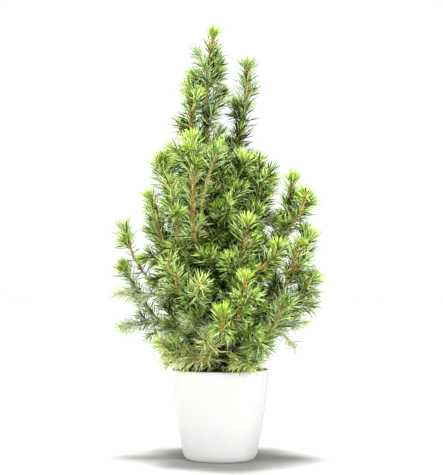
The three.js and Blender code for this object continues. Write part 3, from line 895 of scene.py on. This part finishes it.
# Where a shoot's own hue tells: its hue, the share of its needles, the least and most painted light, and
# their tint.
BY_HUE = (
    (BLUE_GREEN, 0.55, 0.25, math.inf, "blue_green"),
    (PALE, 0.88, 0.15, math.inf, "pale"),
    (OLIVE, 0.7, 0.3, math.inf, "olive"),
    (GREEN, 0.10, 0.3, 0.6, "blue_green"),
)


def crown_edge():
    """The crown's radius at 16 heights, from its masses: (heights, radii)."""
    points = np.concatenate([node_shape(name)[0] for name in FOLIAGE_NODES])
    heights = np.linspace(points[:, 2].min(), points[:, 2].max(), 16)
    radius = np.hypot(points[:, 0], points[:, 1])
    band = 0.6 * (heights[1] - heights[0])
    edge = [np.percentile(radius[np.abs(points[:, 2] - height) < band], 88) for height in heights]
    return heights, np.array(edge)


def tint_of(rows, crown, rng):
    """Which tint each needle has, dealt out by spray. A level of painted light, from its shoot's tone, how
    far out it stands in the crown and how far up its shoot, with a little scatter, picks the shaded, deep,
    mid or bright
    tint: lighter far out in the crown as painted light, darker towards the trunk as painted shade. Then the
    shoot's own hue, and new growth, which takes the new tint more often where the painted light is higher."""
    heights, edge = crown_edge()
    place = np.hypot(rows["foot"][:, 0], rows["foot"][:, 1]) / np.interp(rows["foot"][:, 2], heights, edge)
    shoot, new = rows["shoot"], rows["inside"] > 0
    # light is painted light: 0.50 place^1.6 lightens needles far out in the crown and leaves those near the
    # trunk in painted shade.
    light = 0.10 + 0.50 * np.clip(place, 0, 1.1) ** 1.6 + 0.16 * rows["share"] + crown.tone[shoot]
    light = light + rng.normal(0, 0.42, len(light))
    tint = np.array(BY_PAINTED_LIGHT)[np.digitize(light, [0.17, 0.36, 0.60])]
    hue = crown.hue[shoot]
    dealt = rng.random(len(light))
    for own, some, least, most, name in BY_HUE:
        tint[(hue == own) & (dealt < some) & (light > least) & (light < most)] = TINTS.index(name)
    full = np.interp(crown.tuft[shoot], [0.3, 1.2], [0.3, 1.0]) * (0.5 + 0.9 * rows["inside"])
    full *= np.array([1.0, 0.35, 0.0, 1.0])[hue]
    fresh = new & (rng.random(len(light)) < np.clip(0.25 + light, 0, 0.9) * full)
    tint[fresh] = TINTS.index("new")
    middle = TINTS.index("mid")  # new growth has no tint after this one, except on pale shoots
    tint[new & ~fresh & (hue != PALE) & (tint > middle)] = middle
    return tint


def in_parts(name, rows, most):
    """Rows split evenly, so that no part has more than most: (name of the piece, rows) of each."""
    parts = max(1, math.ceil(len(rows) / most))
    bounds = np.linspace(0, len(rows), parts + 1).astype(int)
    names = [f"{name}_{i + 1}" for i in range(parts)] if parts > 1 else [name]
    return zip(names, np.split(rows, bounds[1:-1]))


# ---------------------------------------------------------------- settings


def colour_property(name, description, hex_colour):
    """A colour setting with its sRGB hex default."""
    return FloatVectorProperty(
        name=name, description=description, subtype="COLOR", size=4, min=0, max=1, default=linear(hex_colour)
    )


def length_property(name, description, millimetres):
    """A length setting, kept in metres, with its default in millimetres."""
    return FloatProperty(
        name=name, description=description, default=millimetres * MM, min=0, precision=5, unit="LENGTH"
    )


class PlanterSettings(bpy.types.PropertyGroup):
    """The planter and the grower's pot in it."""

    sides: IntProperty(name="Sides", description="Facets round each pot", default=160, min=24, max=400)
    white: colour_property("White", "The planter's moulded plastic", "#DDDDDC")
    dark: colour_property("Dark", "The grower's pot", "#1B1D1E")


class SoilSettings(bpy.types.PropertyGroup):
    """The potting mix."""

    relief: length_property("Relief", "Height of the crumbs", 1.6)
    crumbs: IntProperty(name="Crumbs", description="Loose crumbs on the soil", default=420, min=0, max=2000)
    peat: colour_property("Peat", "Moist peat", "#33241A")


class WoodSettings(bpy.types.PropertyGroup):
    """Bark and twigs."""

    relief: length_property("Relief", "Depth of the bark's plates", 0.55)
    grey: colour_property("Old bark", "Flaky bark low on the trunk", "#6B5644")
    new: colour_property("New wood", "Wood of this year's leading shoots", "#B49A4C")
    ripe: colour_property("Ripe wood", "Wood of side shoots", "#A09850")
    old: colour_property("Old wood", "Wood inside the crown", "#6E6240")
    green: colour_property("Green wood", "Wood of the pale low sprays", "#A3AC66")


class FoliageSettings(bpy.types.PropertyGroup):
    """How shoots and needles grow."""

    seed: IntProperty(name="Seed", description="Which plant grows", default=11, min=0)
    per_cm: FloatProperty(name="Needles per cm", description="Along a shoot", default=13.0, min=2, max=40)
    needle_length: length_property("Needle length", "From foot to point", 19)
    needle_width: length_property("Needle width", "At the widest, a little over life size", 1.35)
    brush: FloatProperty(name="Brush", description="New needles at a shoot's tip", default=27, min=0, max=100)
    side_gap: length_property("Side gap", "Way between side shoots", 8.5)
    fill: IntProperty(name="Lesser boughs", description="Between the main ones", default=56, min=0, max=200)
    inner_gap: length_property("Inner gap", "Way between inner shoots", 2.2)
    tip_inset: length_property("Tip inset", "Wood ends this far inside the crown's outline", 12.5)
    new: colour_property("New", "Needles of this year's tips", "#B0CE42")
    # bright, mid, deep and shaded are steps of painted light and shade: the lighter ones go far out in the
    # crown, the darker ones inside it and next to the trunk, partly also for the age of inner needles.
    bright: colour_property("Bright", "Needles in full light", "#D4E898")
    mid: colour_property("Mid", "Most needles", "#86A83E")
    deep: colour_property("Deep", "Needles inside the crown", "#3C5E10")
    shaded: colour_property("Shaded", "Needles next to the trunk", "#1A2C00")
    blue_green: colour_property("Blue-green", "Needles with more bloom", "#A2C08E")
    pale: colour_property("Pale", "Needles of the thin low shoots", "#E8F2C8")
    olive: colour_property("Olive", "Older needles of the front", "#DADC8C")


class StageSettings(bpy.types.PropertyGroup):
    """Floor, light and camera."""

    floor: colour_property("Floor", "The pale floor", "#B9B9B8")
    surround: FloatProperty(name="Surround", description="Strength of the tent's sides", default=0.08, min=0)
    overhead: FloatProperty(name="Overhead", description="What the tent's roof adds", default=134, min=0)
    flank: FloatProperty(name="Flanks", description="At the sides", default=6.6, min=0, unit="POWER")
    front: FloatProperty(name="Front", description="In front", default=8.5, min=0, unit="POWER")
    foot: FloatProperty(name="Foot", description="At the foot", default=0.016, min=0, unit="POWER")


# ---------------------------------------------------------------- operators


class SPRUCE_OT_planter(bpy.types.Operator):
    """Turns the white planter and finishes it as satin moulded plastic"""

    bl_idname = "spruce.planter"
    bl_label = "Planter"

    def execute(self, context):
        settings = context.scene.spruce_planter
        heights, outer, inner = turned_profile("planter")
        # A height where the widest point lies inside a lower one has corners on the inner wall alone.
        proud = outer > np.maximum.accumulate(outer) - 0.01 * MM
        walled = outer - inner > 0.1 * MM
        rim = outer.argmax()
        thick = (outer - inner)[rim]
        outside = through(np.stack([outer, heights], 1)[proud & (heights <= heights[rim])], (1, 0), 8)
        within = (walled | ~proud) & (heights > 0) & (heights <= heights[rim])
        lining = through(np.stack([np.where(proud, inner, outer), heights], 1)[within], (1, 0), 8)
        turn = np.linspace(0, math.pi, 13)[1:-1]
        middle = np.array([outer[rim] - thick / 2, heights[rim]])
        lip = middle + 0.5 * thick * np.stack([np.cos(turn), np.sin(turn)], 1)
        profile = np.concatenate([[[0, outside[0, 1]]], outside, lip, lining[::-1], [[0, lining[0, 1]]]])
        plastic, tree, shader = finish_material(
            "moulded_polypropylene_satin", Base_Color=settings.white, Roughness=0.38, IOR=1.49
        )
        # A moulded satin skin: broad soft highlights, faintly uneven where the tool's texture has worn.
        spot = add_node(tree, "TexCoord"), "Object"
        skin = add_node(tree, "TexNoise", {"Vector": spot, "Scale": 1 / (1.1 * MM), "Detail": 3.0})
        wear = add_node(tree, "TexNoise", {"Vector": spot, "Scale": 1 / (36 * MM), "Detail": 4.0})
        gloss = {"Value": (wear, "Fac"), "To Min": 0.32, "To Max": 0.46}
        add_node(tree, "MapRange", gloss, {"Result": (shader, "Roughness")})
        grain = {"Height": (skin, "Fac"), "Strength": 0.12, "Distance": 0.1 * MM}
        add_node(tree, "Bump", grain, {"Normal": (shader, "Normal")})
        solid("white_planter", revolve(profile, settings.sides), plastic, ["planter"])
        return {"FINISHED"}


class SPRUCE_OT_grower_pot(bpy.types.Operator):
    """Turns the thin dark pot that stands in the planter"""

    bl_idname = "spruce.grower_pot"
    bl_label = "Grower's pot"

    def execute(self, context):
        settings = context.scene.spruce_planter
        heights, outer, _ = turned_profile("grower_pot")
        wall, top, floor = 1.1 * MM, heights[-1], heights[0]
        neck = outer[0] + (outer[-1] - outer[0]) * 0.86
        body = np.stack([np.linspace(outer[0], neck, 12), np.linspace(floor, top - 2.6 * MM, 12)], 1)
        roll = np.linspace(-0.5 * math.pi, 0.5 * math.pi, 9)
        lip = [outer[-1] - 1.0 * MM + 1.0 * MM * np.cos(roll), top - 1.2 * MM + 1.2 * MM * np.sin(roll)]
        inside = body[::-1][:-1] - [wall, 0]
        turn_in = [[neck - wall, top - 0.4 * MM]]
        corner = [[inside[-1, 0] - 2 * MM, floor + wall]]
        profile = [[[0, floor]], body, np.stack(lip, 1), turn_in, inside, corner, [[0, floor + wall]]]
        plastic, tree, shader = finish_material(
            "thermoformed_polypropylene_dull", Base_Color=settings.dark, Roughness=0.5, IOR=1.49
        )
        # A thin formed sheet, dull where soil dust clings and a little shinier between.
        spot = add_node(tree, "TexCoord"), "Object"
        dust = add_node(tree, "TexNoise", {"Vector": spot, "Scale": 1 / (7 * MM), "Detail": 6.0})
        dull = {"Value": (dust, "Fac"), "To Min": 0.35, "To Max": 0.7}
        add_node(tree, "MapRange", dull, {"Result": (shader, "Roughness")})
        shades = [(0.35, settings.dark), (0.75, linear("#3A332C"))]
        add_node(tree, "ValToRGB", {"Fac": (dust, "Fac")}, {"Color": (shader, "Base Color")}, shades)
        shape = revolve(np.concatenate(profile), settings.sides)
        solid("nursery_pot", shape, plastic, ["grower_pot"])
        return {"FINISHED"}


def lumps(centres, sizes, rng, flat=1.0):
    """Crumbs: 20-sided balls whose 12 corners each stand at their own distance, 0.7 to 1.25 times the
    size."""
    golden = (1 + 5**0.5) / 2
    third = [(-1, golden, 0), (1, golden, 0), (-1, -golden, 0), (1, -golden, 0)]
    ball = np.concatenate([np.roll(third, turned, axis=1) for turned in range(3)])
    faces = np.array(
        [(0, 11, 5), (0, 5, 1), (0, 1, 7), (0, 7, 10), (0, 10, 11), (1, 5, 9), (5, 11, 4), (11, 10, 2),
         (10, 7, 6), (7, 1, 8), (3, 9, 4), (3, 4, 2), (3, 2, 6), (3, 6, 8), (3, 8, 9), (4, 9, 5), (2, 4, 11),
         (6, 2, 10), (8, 6, 7), (9, 8, 1)]
    )
    stretch = rng.uniform(0.7, 1.25, (len(centres), 12, 1)) * sizes[:, None, None]
    w, x, y, z = unit(rng.normal(size=(len(centres), 4))).T  # a random turn, as a quaternion
    turn = np.stack(
        [1 - 2 * (y * y + z * z), 2 * (x * y - z * w), 2 * (x * z + y * w), 2 * (x * y + z * w),
         1 - 2 * (x * x + z * z), 2 * (y * z - x * w), 2 * (x * z - y * w), 2 * (y * z + x * w),
         1 - 2 * (x * x + y * y)], 1,
    ).reshape(-1, 3, 3)
    shape = unit(ball)[None] * stretch * np.array([1, 1, flat])
    points = centres[:, None] + np.einsum("nij,nkj->nki", turn, shape)
    index = np.arange(len(centres))[:, None, None] * 12 + faces
    return points.reshape(-1, 3), [index.reshape(-1, 3)]


class SPRUCE_OT_soil(bpy.types.Operator):
    """Fills the grower's pot with crumbly potting mix"""

    bl_idname = "spruce.soil"
    bl_label = "Soil"

    def execute(self, context):
        settings = context.scene.spruce_soil
        rng = np.random.default_rng(5)
        low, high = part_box("soil")
        _, outer, _ = turned_profile("soil")
        reach = outer.max()

        def lie(radius):
            """The height of the soil's top, which sinks a little towards the pot."""
            return np.interp(radius, [30 * MM, reach], [high.z, high.z - 2.5 * MM])

        top_radius = reach * np.sqrt(1 - np.linspace(0, 1, 46))
        top = np.stack([top_radius, lie(top_radius)], 1)
        wall = np.stack([np.linspace(outer[0], reach, 8), np.linspace(low.z, top[0, 1] - 1 * MM, 8)], 1)
        points, faces = revolve(np.concatenate([[[0, low.z]], wall, top]), 180)
        # The top's relief is three layers of noise, which fade out at the pot's wall.
        radius = np.hypot(points[:, 0], points[:, 1])
        on_top = np.clip((points[:, 2] - (high.z - 4 * MM)) / (2 * MM), 0, 1)
        on_top = on_top * np.clip((reach - radius) / (3 * MM), 0, 1)
        x, y = points[:, 0] / (2 * reach) + 0.5, points[:, 1] / (2 * reach) + 0.5
        crumb = sum(
            value_noise(x, y, (cells, cells), seed, wrap=False) * weight
            for cells, seed, weight in ((9, 1, 0.5), (26, 2, 0.35), (60, 3, 0.25))
        )
        points[:, 2] += on_top * settings.relief * (crumb - 0.3)
        mix, tree, shader = finish_material(
            "moist_peat_mix", Base_Color=settings.peat, Roughness=0.92, Specular_IOR_Level=0.25
        )
        # Fibrous peat: dark where wet, with paler dry fibres a millimetre or two across.
        spot = add_node(tree, "TexCoord"), "Object"
        grain = {"Vector": spot, "Scale": 1 / (2.4 * MM), "Detail": 8.0, "Distortion": 1.2}
        fibre = add_node(tree, "TexNoise", grain)
        shades = [(0.3, linear("#140D08")), (0.55, settings.peat), (0.8, linear("#5B4431"))]
        add_node(tree, "ValToRGB", {"Fac": (fibre, "Fac")}, {"Color": (shader, "Base Color")}, shades)
        rough = {"Height": (fibre, "Fac"), "Strength": 0.7, "Distance": 0.6 * MM}
        add_node(tree, "Bump", rough, {"Normal": (shader, "Normal")})
        solid("potting_mix", (points, faces), mix, ["soil"])
        for name, count, sizes, colour, flat in (
            ("peat_crumbs", settings.crumbs, (0.5, 1.5), "#2B1D13", 0.8),
            ("bark_chips", settings.crumbs // 5, (0.9, 2.4), "#5A3D28", 0.35),
            ("perlite_grains", settings.crumbs // 8, (0.5, 1.2), "#D9D6CC", 0.9),
        ):
            spread = (reach - 4 * MM) * np.sqrt(rng.random(count))
            turn = rng.uniform(0, 2 * math.pi, count)
            size = rng.uniform(*sizes, count) * MM
            centres = np.stack([spread * np.cos(turn), spread * np.sin(turn), lie(spread) - 0.1 * size], 1)
            clear = spread > 8 * MM  # of the trunk
            # Loose dry grit, matt and plain, each kind in its own colour.
            grit, _, _ = finish_material(
                name.replace("_", " ") + " loose", Base_Color=linear(colour), Roughness=0.9
            )
            solid(name, lumps(centres[clear], size[clear], rng, flat), grit, smooth=False)
        return {"FINISHED"}


def bark_skin(path, radii, sides, relief, seed, plates):
    """Radii round a limb: its own + plates of bark. The plates are noise whose hollows are cut sharp,
    0.55 - 1.1 exp(-7 |coarse|) + 0.45 fine, longer up the limb than round it, and lower on thin wood."""
    u, v = np.meshgrid(np.arange(sides) / sides, np.linspace(0, 1, len(path)))
    coarse = value_noise(u, v, plates, seed)
    fine = value_noise(u, v, (plates[0] * 2, plates[1] * 2), seed + 1)
    skin = 0.55 - 1.1 * np.exp(-np.abs(coarse) * 7) + 0.45 * fine
    return radii[:, None] + relief * skin * np.clip(radii[:, None] / (3 * MM), 0.25, 1)


def bark_material(name, low, high, from_height, to_height):
    """Spruce bark, thin and flaky: grey-brown plates over darker seams low down, tan higher up."""
    bark, tree, shader = finish_material(name, Base_Color=low, Roughness=0.85, Specular_IOR_Level=0.3)
    spot = add_node(tree, "TexCoord"), "Object"
    long = add_node(tree, "Mapping", {"Vector": spot, "Scale": (1.0, 1.0, 0.4)})
    scales = {"Vector": (long, "Vector"), "Scale": 1 / (2.1 * MM)}
    plates = add_node(tree, "TexVoronoi", scales, feature="DISTANCE_TO_EDGE")
    fibres = {"Vector": (long, "Vector"), "Scale": 1 / (2.9 * MM), "Detail": 8.0, "Roughness": 0.65}
    grain = add_node(tree, "TexNoise", fibres)
    height = add_node(tree, "SeparateXYZ", {"Vector": spot})
    up = add_node(tree, "MapRange", {"Value": (height, "Z"), "From Min": from_height, "From Max": to_height})
    shade = add_node(tree, "Mix", {0: (up, "Result"), 6: low, 7: high}, data_type="RGBA")
    patches = [(0.28, (0.35, 0.33, 0.31, 1)), (0.5, (0.95, 0.95, 0.95, 1)), (0.75, (1.5, 1.45, 1.4, 1))]
    patch = add_node(tree, "ValToRGB", {"Fac": (grain, "Fac")}, ramp=patches)
    edge = {"Value": (plates, "Distance"), "From Max": 0.12, "To Min": 0.45, "To Max": 1.0}
    seam = add_node(tree, "MapRange", edge)
    for cover in ((patch, "Color"), (seam, "Result")):
        both = {0: 1.0, 6: (shade, 2), 7: cover}
        shade = add_node(tree, "Mix", both, data_type="RGBA", blend_type="MULTIPLY")
    tree.links.new(shade.outputs[2], shader.inputs["Base Color"])
    rough = {"Height": (grain, "Fac"), "Strength": 0.6, "Distance": 0.5 * MM}
    add_node(tree, "Bump", rough, {"Normal": (shader, "Normal")})
    return bark


class SPRUCE_OT_trunk(bpy.types.Operator):
    """Clothes the trunk in flaky bark, from its flared foot to the leader's tip"""

    bl_idname = "spruce.trunk"
    bl_label = "Trunk"

    def execute(self, context):
        settings = context.scene.spruce_wood
        axis, radii = limb_axis("trunk", 6, 420)
        sides = 48
        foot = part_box("trunk")[0].z
        axis[0, 2] = min(axis[0, 2], foot)
        radii = np.maximum(radii, 1.2 * MM)
        radii[-6:] *= np.array([0.97, 0.93, 0.85, 0.72, 0.5, 0.2])  # rounds the leader's tip
        skin = bark_skin(axis, radii, sides, settings.relief, 21, (7, 46))
        # Buttresses over the lowest 16 mm: 3.6 (1 - rise)^2 mm, in lobes of five and three round the foot.
        turn = np.arange(sides) / sides * 2 * math.pi
        rise = np.clip((axis[:, 2] - foot) / (16 * MM), 0, 1)[:, None]
        lobes = 1 + 0.22 * np.cos(5 * turn + 0.8) + 0.1 * np.cos(3 * turn)
        skin = skin + 3.6 * MM * (1 - rise) ** 2 * lobes
        # The rings lie level, so that the foot is flat.
        level = [np.broadcast_to(direction, (1, *axis.shape)) for direction in np.eye(3)[:2]]
        points, faces = tubes(axis[None], skin, sides, level)
        points[:sides, 2] = foot
        bark = bark_material("spruce_bark_flaky", settings.grey, settings.new, 240 * MM, 380 * MM)
        solid("trunk_bark", (points, faces), bark, ["trunk"])
        return {"FINISHED"}


class SPRUCE_OT_boughs(bpy.types.Operator):
    """Clothes each main bough in bark"""

    bl_idname = "spruce.boughs"
    bl_label = "Main boughs"

    def execute(self, context):
        settings = context.scene.spruce_wood
        bark = bark_material("spruce_bark_young", settings.old, settings.ripe, 120 * MM, 330 * MM)
        for number, node in enumerate(BOUGH_NODES):
            axis, radii = limb_axis(node, 3, 60)
            radii = radii * np.interp(np.arange(60), [0, 6, 54, 59], [1.15, 1.0, 1.0, 0.9])
            skin = bark_skin(axis, radii, 22, 0.7 * settings.relief, 40 + 2 * number, (5, 18))
            solid(node + "_bark", tubes(axis[None], skin, 22), bark, [node])
        return {"FINISHED"}


def twig_wood(crown, wood, rng):
    """The wood of all twigs, one piece for each kind. New wood is finer and a little knobbly."""
    for kind, name in ((NEW, "new"), (RIPE, "ripe"), (OLD, "old"), (SOFT, "green")):
        # Young bark is thin and waxy: a soft sheen over a hue that stays even along a twig.
        bark, _, _ = finish_material(
            name + "_wood_thin_bark", Base_Color=getattr(wood, name), Roughness=0.62
        )
        chosen = crown.tube & (crown.wood == kind)
        keep = np.unique(np.r_[np.arange(0, PATH_POINTS, 1 if kind == NEW else 3), PATH_POINTS - 1])
        radii = crown.radius[chosen][:, keep]
        if kind == NEW:
            radii = radii * (1 + 0.1 * rng.uniform(-1, 1, radii.shape))
        shape = tubes(crown.path[chosen][:, keep], radii, 8 if kind == NEW else 5)
        solid(name + "_wood", shape, bark, FOLIAGE_NODES if kind == NEW else ())


def leaf_pegs(crown, settings, rng):
    """Pegs: each leaf stands on a raised, forward-pointing base. They are bright tan where the shoot is
    young, and more and more of them are straw-coloured lower down."""
    lead = np.flatnonzero(crown.rank <= 2)
    shown = np.choose(crown.wood[lead], [2.0, 0.5, 0.2, 0.0])  # for new, ripe, old and soft wood
    long = crown.lengths[lead] * (1 - crown.bare[lead]) / MM
    counts = np.round(long * settings.per_cm / 10 * shown).astype(int)
    row, local = deal(counts)
    shoot, count = lead[row], len(row)
    share = share_above(np.maximum(crown.bare[shoot] - 0.15, 0), local, counts[row], rng)
    turn, length = local * GOLDEN_TURN + shoot * 1.7, rng.uniform(2.0, 3.1, count) * MM
    pegs = needles_at(crown, shoot, share, turn, np.full(count, 0.8), length, rng, 0.3)
    aged = rng.random(count) < 0.85 - 0.75 * share
    for name, colour, some in (("leaf_bases", "#F2C466", ~aged), ("old_leaf_bases", "#C8C084", aged)):
        # Corky and matt, so that they stand out from the waxy wood.
        cork, _, _ = finish_material(name + "_bark", Base_Color=linear(colour), Roughness=0.6)
        solid(name, blades(pegs, some, 1.3 * MM, 3, 0.5, 1.1), cork)


def bud_scales(crown, rng):
    """Bud scales: a papery collar of eleven under each brush of new growth. Leading shoots keep the ones
    of earlier flushes as rusty knots down the stem."""
    each = 11
    tips = np.flatnonzero(crown.tuft > 0.9)
    collars = [(tips, np.full(len(tips), 5.5))]
    for down in (24, 50, 78, 108):  # mm below the tip
        long = crown.lengths > (down + 12) * MM
        below = np.flatnonzero((crown.wood == NEW) & (crown.rank == 1) & long)
        collars.append((below, down + rng.uniform(-7, 7, len(below))))
    shoot, depth = (np.repeat(np.concatenate(column), each) for column in zip(*collars))
    count = len(shoot)
    turn = np.arange(count) % each * GOLDEN_TURN
    share = 1 - (depth + rng.uniform(-2.5, 2.5, count)) * MM / crown.lengths[shoot]
    spread, length = rng.uniform(0.35, 0.8, count), rng.uniform(2.6, 4.0, count) * MM
    scales = needles_at(crown, shoot, share, turn, spread, length, rng, 0.1)
    # Thin dry paper, rusty brown and without gloss.
    paper, _, _ = finish_material("bud_scale_papery", Base_Color=linear("#C08C34"), Roughness=0.7)
    solid("bud_scales", blades(scales, slice(None), 1.7 * MM, 3, 0.5, 1.0), paper)


class SPRUCE_OT_shoots(bpy.types.Operator):
    """Grows the twigs, with the pegs that the leaves stand on and the scales at each new tip"""

    bl_idname = "spruce.shoots"
    bl_label = "Shoots"

    def execute(self, context):
        settings = context.scene.spruce_foliage
        crown = grow_crown(settings)
        rng = np.random.default_rng(settings.seed + 1)
        twig_wood(crown, context.scene.spruce_wood, rng)
        leaf_pegs(crown, settings, rng)
        bud_scales(crown, rng)
        return {"FINISHED"}


class SPRUCE_OT_needles(bpy.types.Operator):
    """Sets every needle on its shoot, each tint joined into its own pieces"""

    bl_idname = "spruce.needles"
    bl_label = "Needles"

    def execute(self, context):
        settings = context.scene.spruce_foliage
        crown = grow_crown(settings)
        rng = np.random.default_rng(settings.seed + 2)
        full, new = full_needles(crown, settings, rng), new_needles(crown, settings, rng)
        rows = {key: np.concatenate([full[key], new[key]]) for key in full}
        tint = tint_of(rows, crown, rng)
        width = settings.needle_width * rng.uniform(0.85, 1.12, len(tint))
        width[rows["inside"] > 0] *= 0.92
        width[crown.hue[rows["shoot"]] == PALE] *= 0.8
        for number, name in enumerate(TINTS):
            # Needles are waxy: a soft broad gloss over a plain colour, so that sprays read by their tint.
            colour = getattr(settings, name)
            leaf, _, _ = finish_material(
                "needle_wax_" + name, Base_Color=colour, Roughness=0.45, Specular_IOR_Level=0.12
            )
            for part, chosen in in_parts("needles_" + name, np.flatnonzero(tint == number), 14000):
                solid(part, blades(rows, chosen, width[chosen]), leaf)
        return {"FINISHED"}


def look_from(place, aim):
    """The turn that points a lamp or a camera from a place at an aim."""
    return (Vector(aim) - Vector(place)).to_track_quat("-Z", "Y").to_euler()


def white_tent(scene, settings):
    """A white tent, brighter overhead than at the sides: sides + roof max(0, up)^120. The camera sees
    plain white."""
    world = scene.world = bpy.data.worlds.new("surround")
    world.use_nodes = True
    tree = world.node_tree
    sky = tree.nodes["Background"]
    sky.inputs["Color"].default_value = (1, 1, 1, 1)
    ray = add_node(tree, "TexCoord")
    height = add_node(tree, "SeparateXYZ", {"Vector": (ray, "Generated")})
    above = add_node(tree, "Math", {0: (height, "Z"), 1: 0.0}, operation="MAXIMUM")
    roof = add_node(tree, "Math", {0: (above, 0), 1: 120.0}, operation="POWER")
    levels = {0: (roof, 0), 1: settings.overhead, 2: settings.surround}
    glow = add_node(tree, "Math", levels, operation="MULTIPLY_ADD")
    seen = add_node(tree, "LightPath")
    shown = {0: (seen, "Is Camera Ray"), 2: (glow, 0), 3: 1.02}
    add_node(tree, "Mix", shown, {0: (sky, "Strength")}, data_type="FLOAT")


class SPRUCE_OT_stage(bpy.types.Operator):
    """Lays a pale floor, hangs the softboxes and sets the camera"""

    bl_idname = "spruce.stage"
    bl_label = "Stage"

    def execute(self, context):
        scene = context.scene
        settings = scene.spruce_stage
        # Matt paint without gloss, so that the floor takes soft shade and no reflection.
        paint, _, _ = finish_material(
            "floor_matt_paint", Base_Color=settings.floor, Roughness=0.9, Specular_IOR_Level=0.0
        )
        mesh = bpy.data.meshes.new("floor")
        corners = [(12.0 * x, 12.0 * y, -0.2 * MM) for x, y in ((-1, -1), (1, -1), (1, 1), (-1, 1))]
        mesh.from_pydata(corners, [], [(0, 1, 2, 3)])
        mesh.materials.append(paint)
        floor = bpy.data.objects.new("floor", mesh)
        scene.collection.objects.link(floor)
        white_tent(scene, settings)
        # Lamps: name, place, height of the aim on the axis, size, spread in degrees, watts.
        for name, place, aim, size, spread, watts in (
            ("softbox_left", (-1.15, -0.2, 0.3), 0.25, 0.45, 180, 1.25 * settings.flank),
            ("softbox_right", (0.95, -0.8, 0.3), 0.25, 0.45, 180, 0.88 * settings.flank),
            ("softbox_front", (0.7, -1.3, 0.7), 0.25, 0.25, 180, settings.front),
            ("softbox_foot", (0.05, -1.0, 0.06), -0.01, 0.1, 12, settings.foot),
        ):
            light = bpy.data.lights.new(name, "AREA")
            light.shape, light.size, light.energy = "SQUARE", size, watts
            light.spread = math.radians(spread)
            lamp = bpy.data.objects.new(name, light)
            lamp.location, lamp.rotation_euler = place, look_from(place, (0, 0, aim))
            lamp.visible_camera = False
            scene.collection.objects.link(lamp)
        lens = bpy.data.cameras.new("camera")
        lens.sensor_fit = "VERTICAL"
        lens.angle = math.radians(21.9)
        camera = bpy.data.objects.new("camera", lens)
        camera.location = (0.0015, -1.4, 0.205)
        camera.rotation_euler = look_from(camera.location, (0.0015, 0, 0.251))
        scene.collection.objects.link(camera)
        scene.camera = camera
        scene.view_settings.view_transform = "Standard"
        return {"FINISHED"}


class SPRUCE_PT_panel(bpy.types.Panel):
    """Lists the pieces of the plant in the sidebar"""

    bl_label = "Spruce"
    bl_idname = "SPRUCE_PT_panel"
    bl_space_type = "VIEW_3D"
    bl_region_type = "UI"
    bl_category = "Spruce"

    def draw(self, context):
        for operator in OPERATORS:
            self.layout.operator(operator.bl_idname)


SETTINGS = {
    "spruce_planter": PlanterSettings,
    "spruce_soil": SoilSettings,
    "spruce_wood": WoodSettings,
    "spruce_foliage": FoliageSettings,
    "spruce_stage": StageSettings,
}
OPERATORS = (
    SPRUCE_OT_planter,
    SPRUCE_OT_grower_pot,
    SPRUCE_OT_soil,
    SPRUCE_OT_trunk,
    SPRUCE_OT_boughs,
    SPRUCE_OT_shoots,
    SPRUCE_OT_needles,
    SPRUCE_OT_stage,
)


def register():
    for made in (*SETTINGS.values(), *OPERATORS, SPRUCE_PT_panel):
        bpy.utils.register_class(made)
    for name, group in SETTINGS.items():
        setattr(bpy.types.Scene, name, PointerProperty(type=group))


def unregister():
    for name in SETTINGS:
        delattr(bpy.types.Scene, name)
    for made in reversed((*SETTINGS.values(), *OPERATORS, SPRUCE_PT_panel)):
        bpy.utils.unregister_class(made)


def main():
    """Builds every piece in order."""
    register()
    for operator in OPERATORS:
        group, name = operator.bl_idname.split(".")
        if getattr(getattr(bpy.ops, group), name)() != {"FINISHED"}:
            raise RuntimeError(f"{operator.bl_label} wasn't finished")


if __name__ == "__main__":
    main()
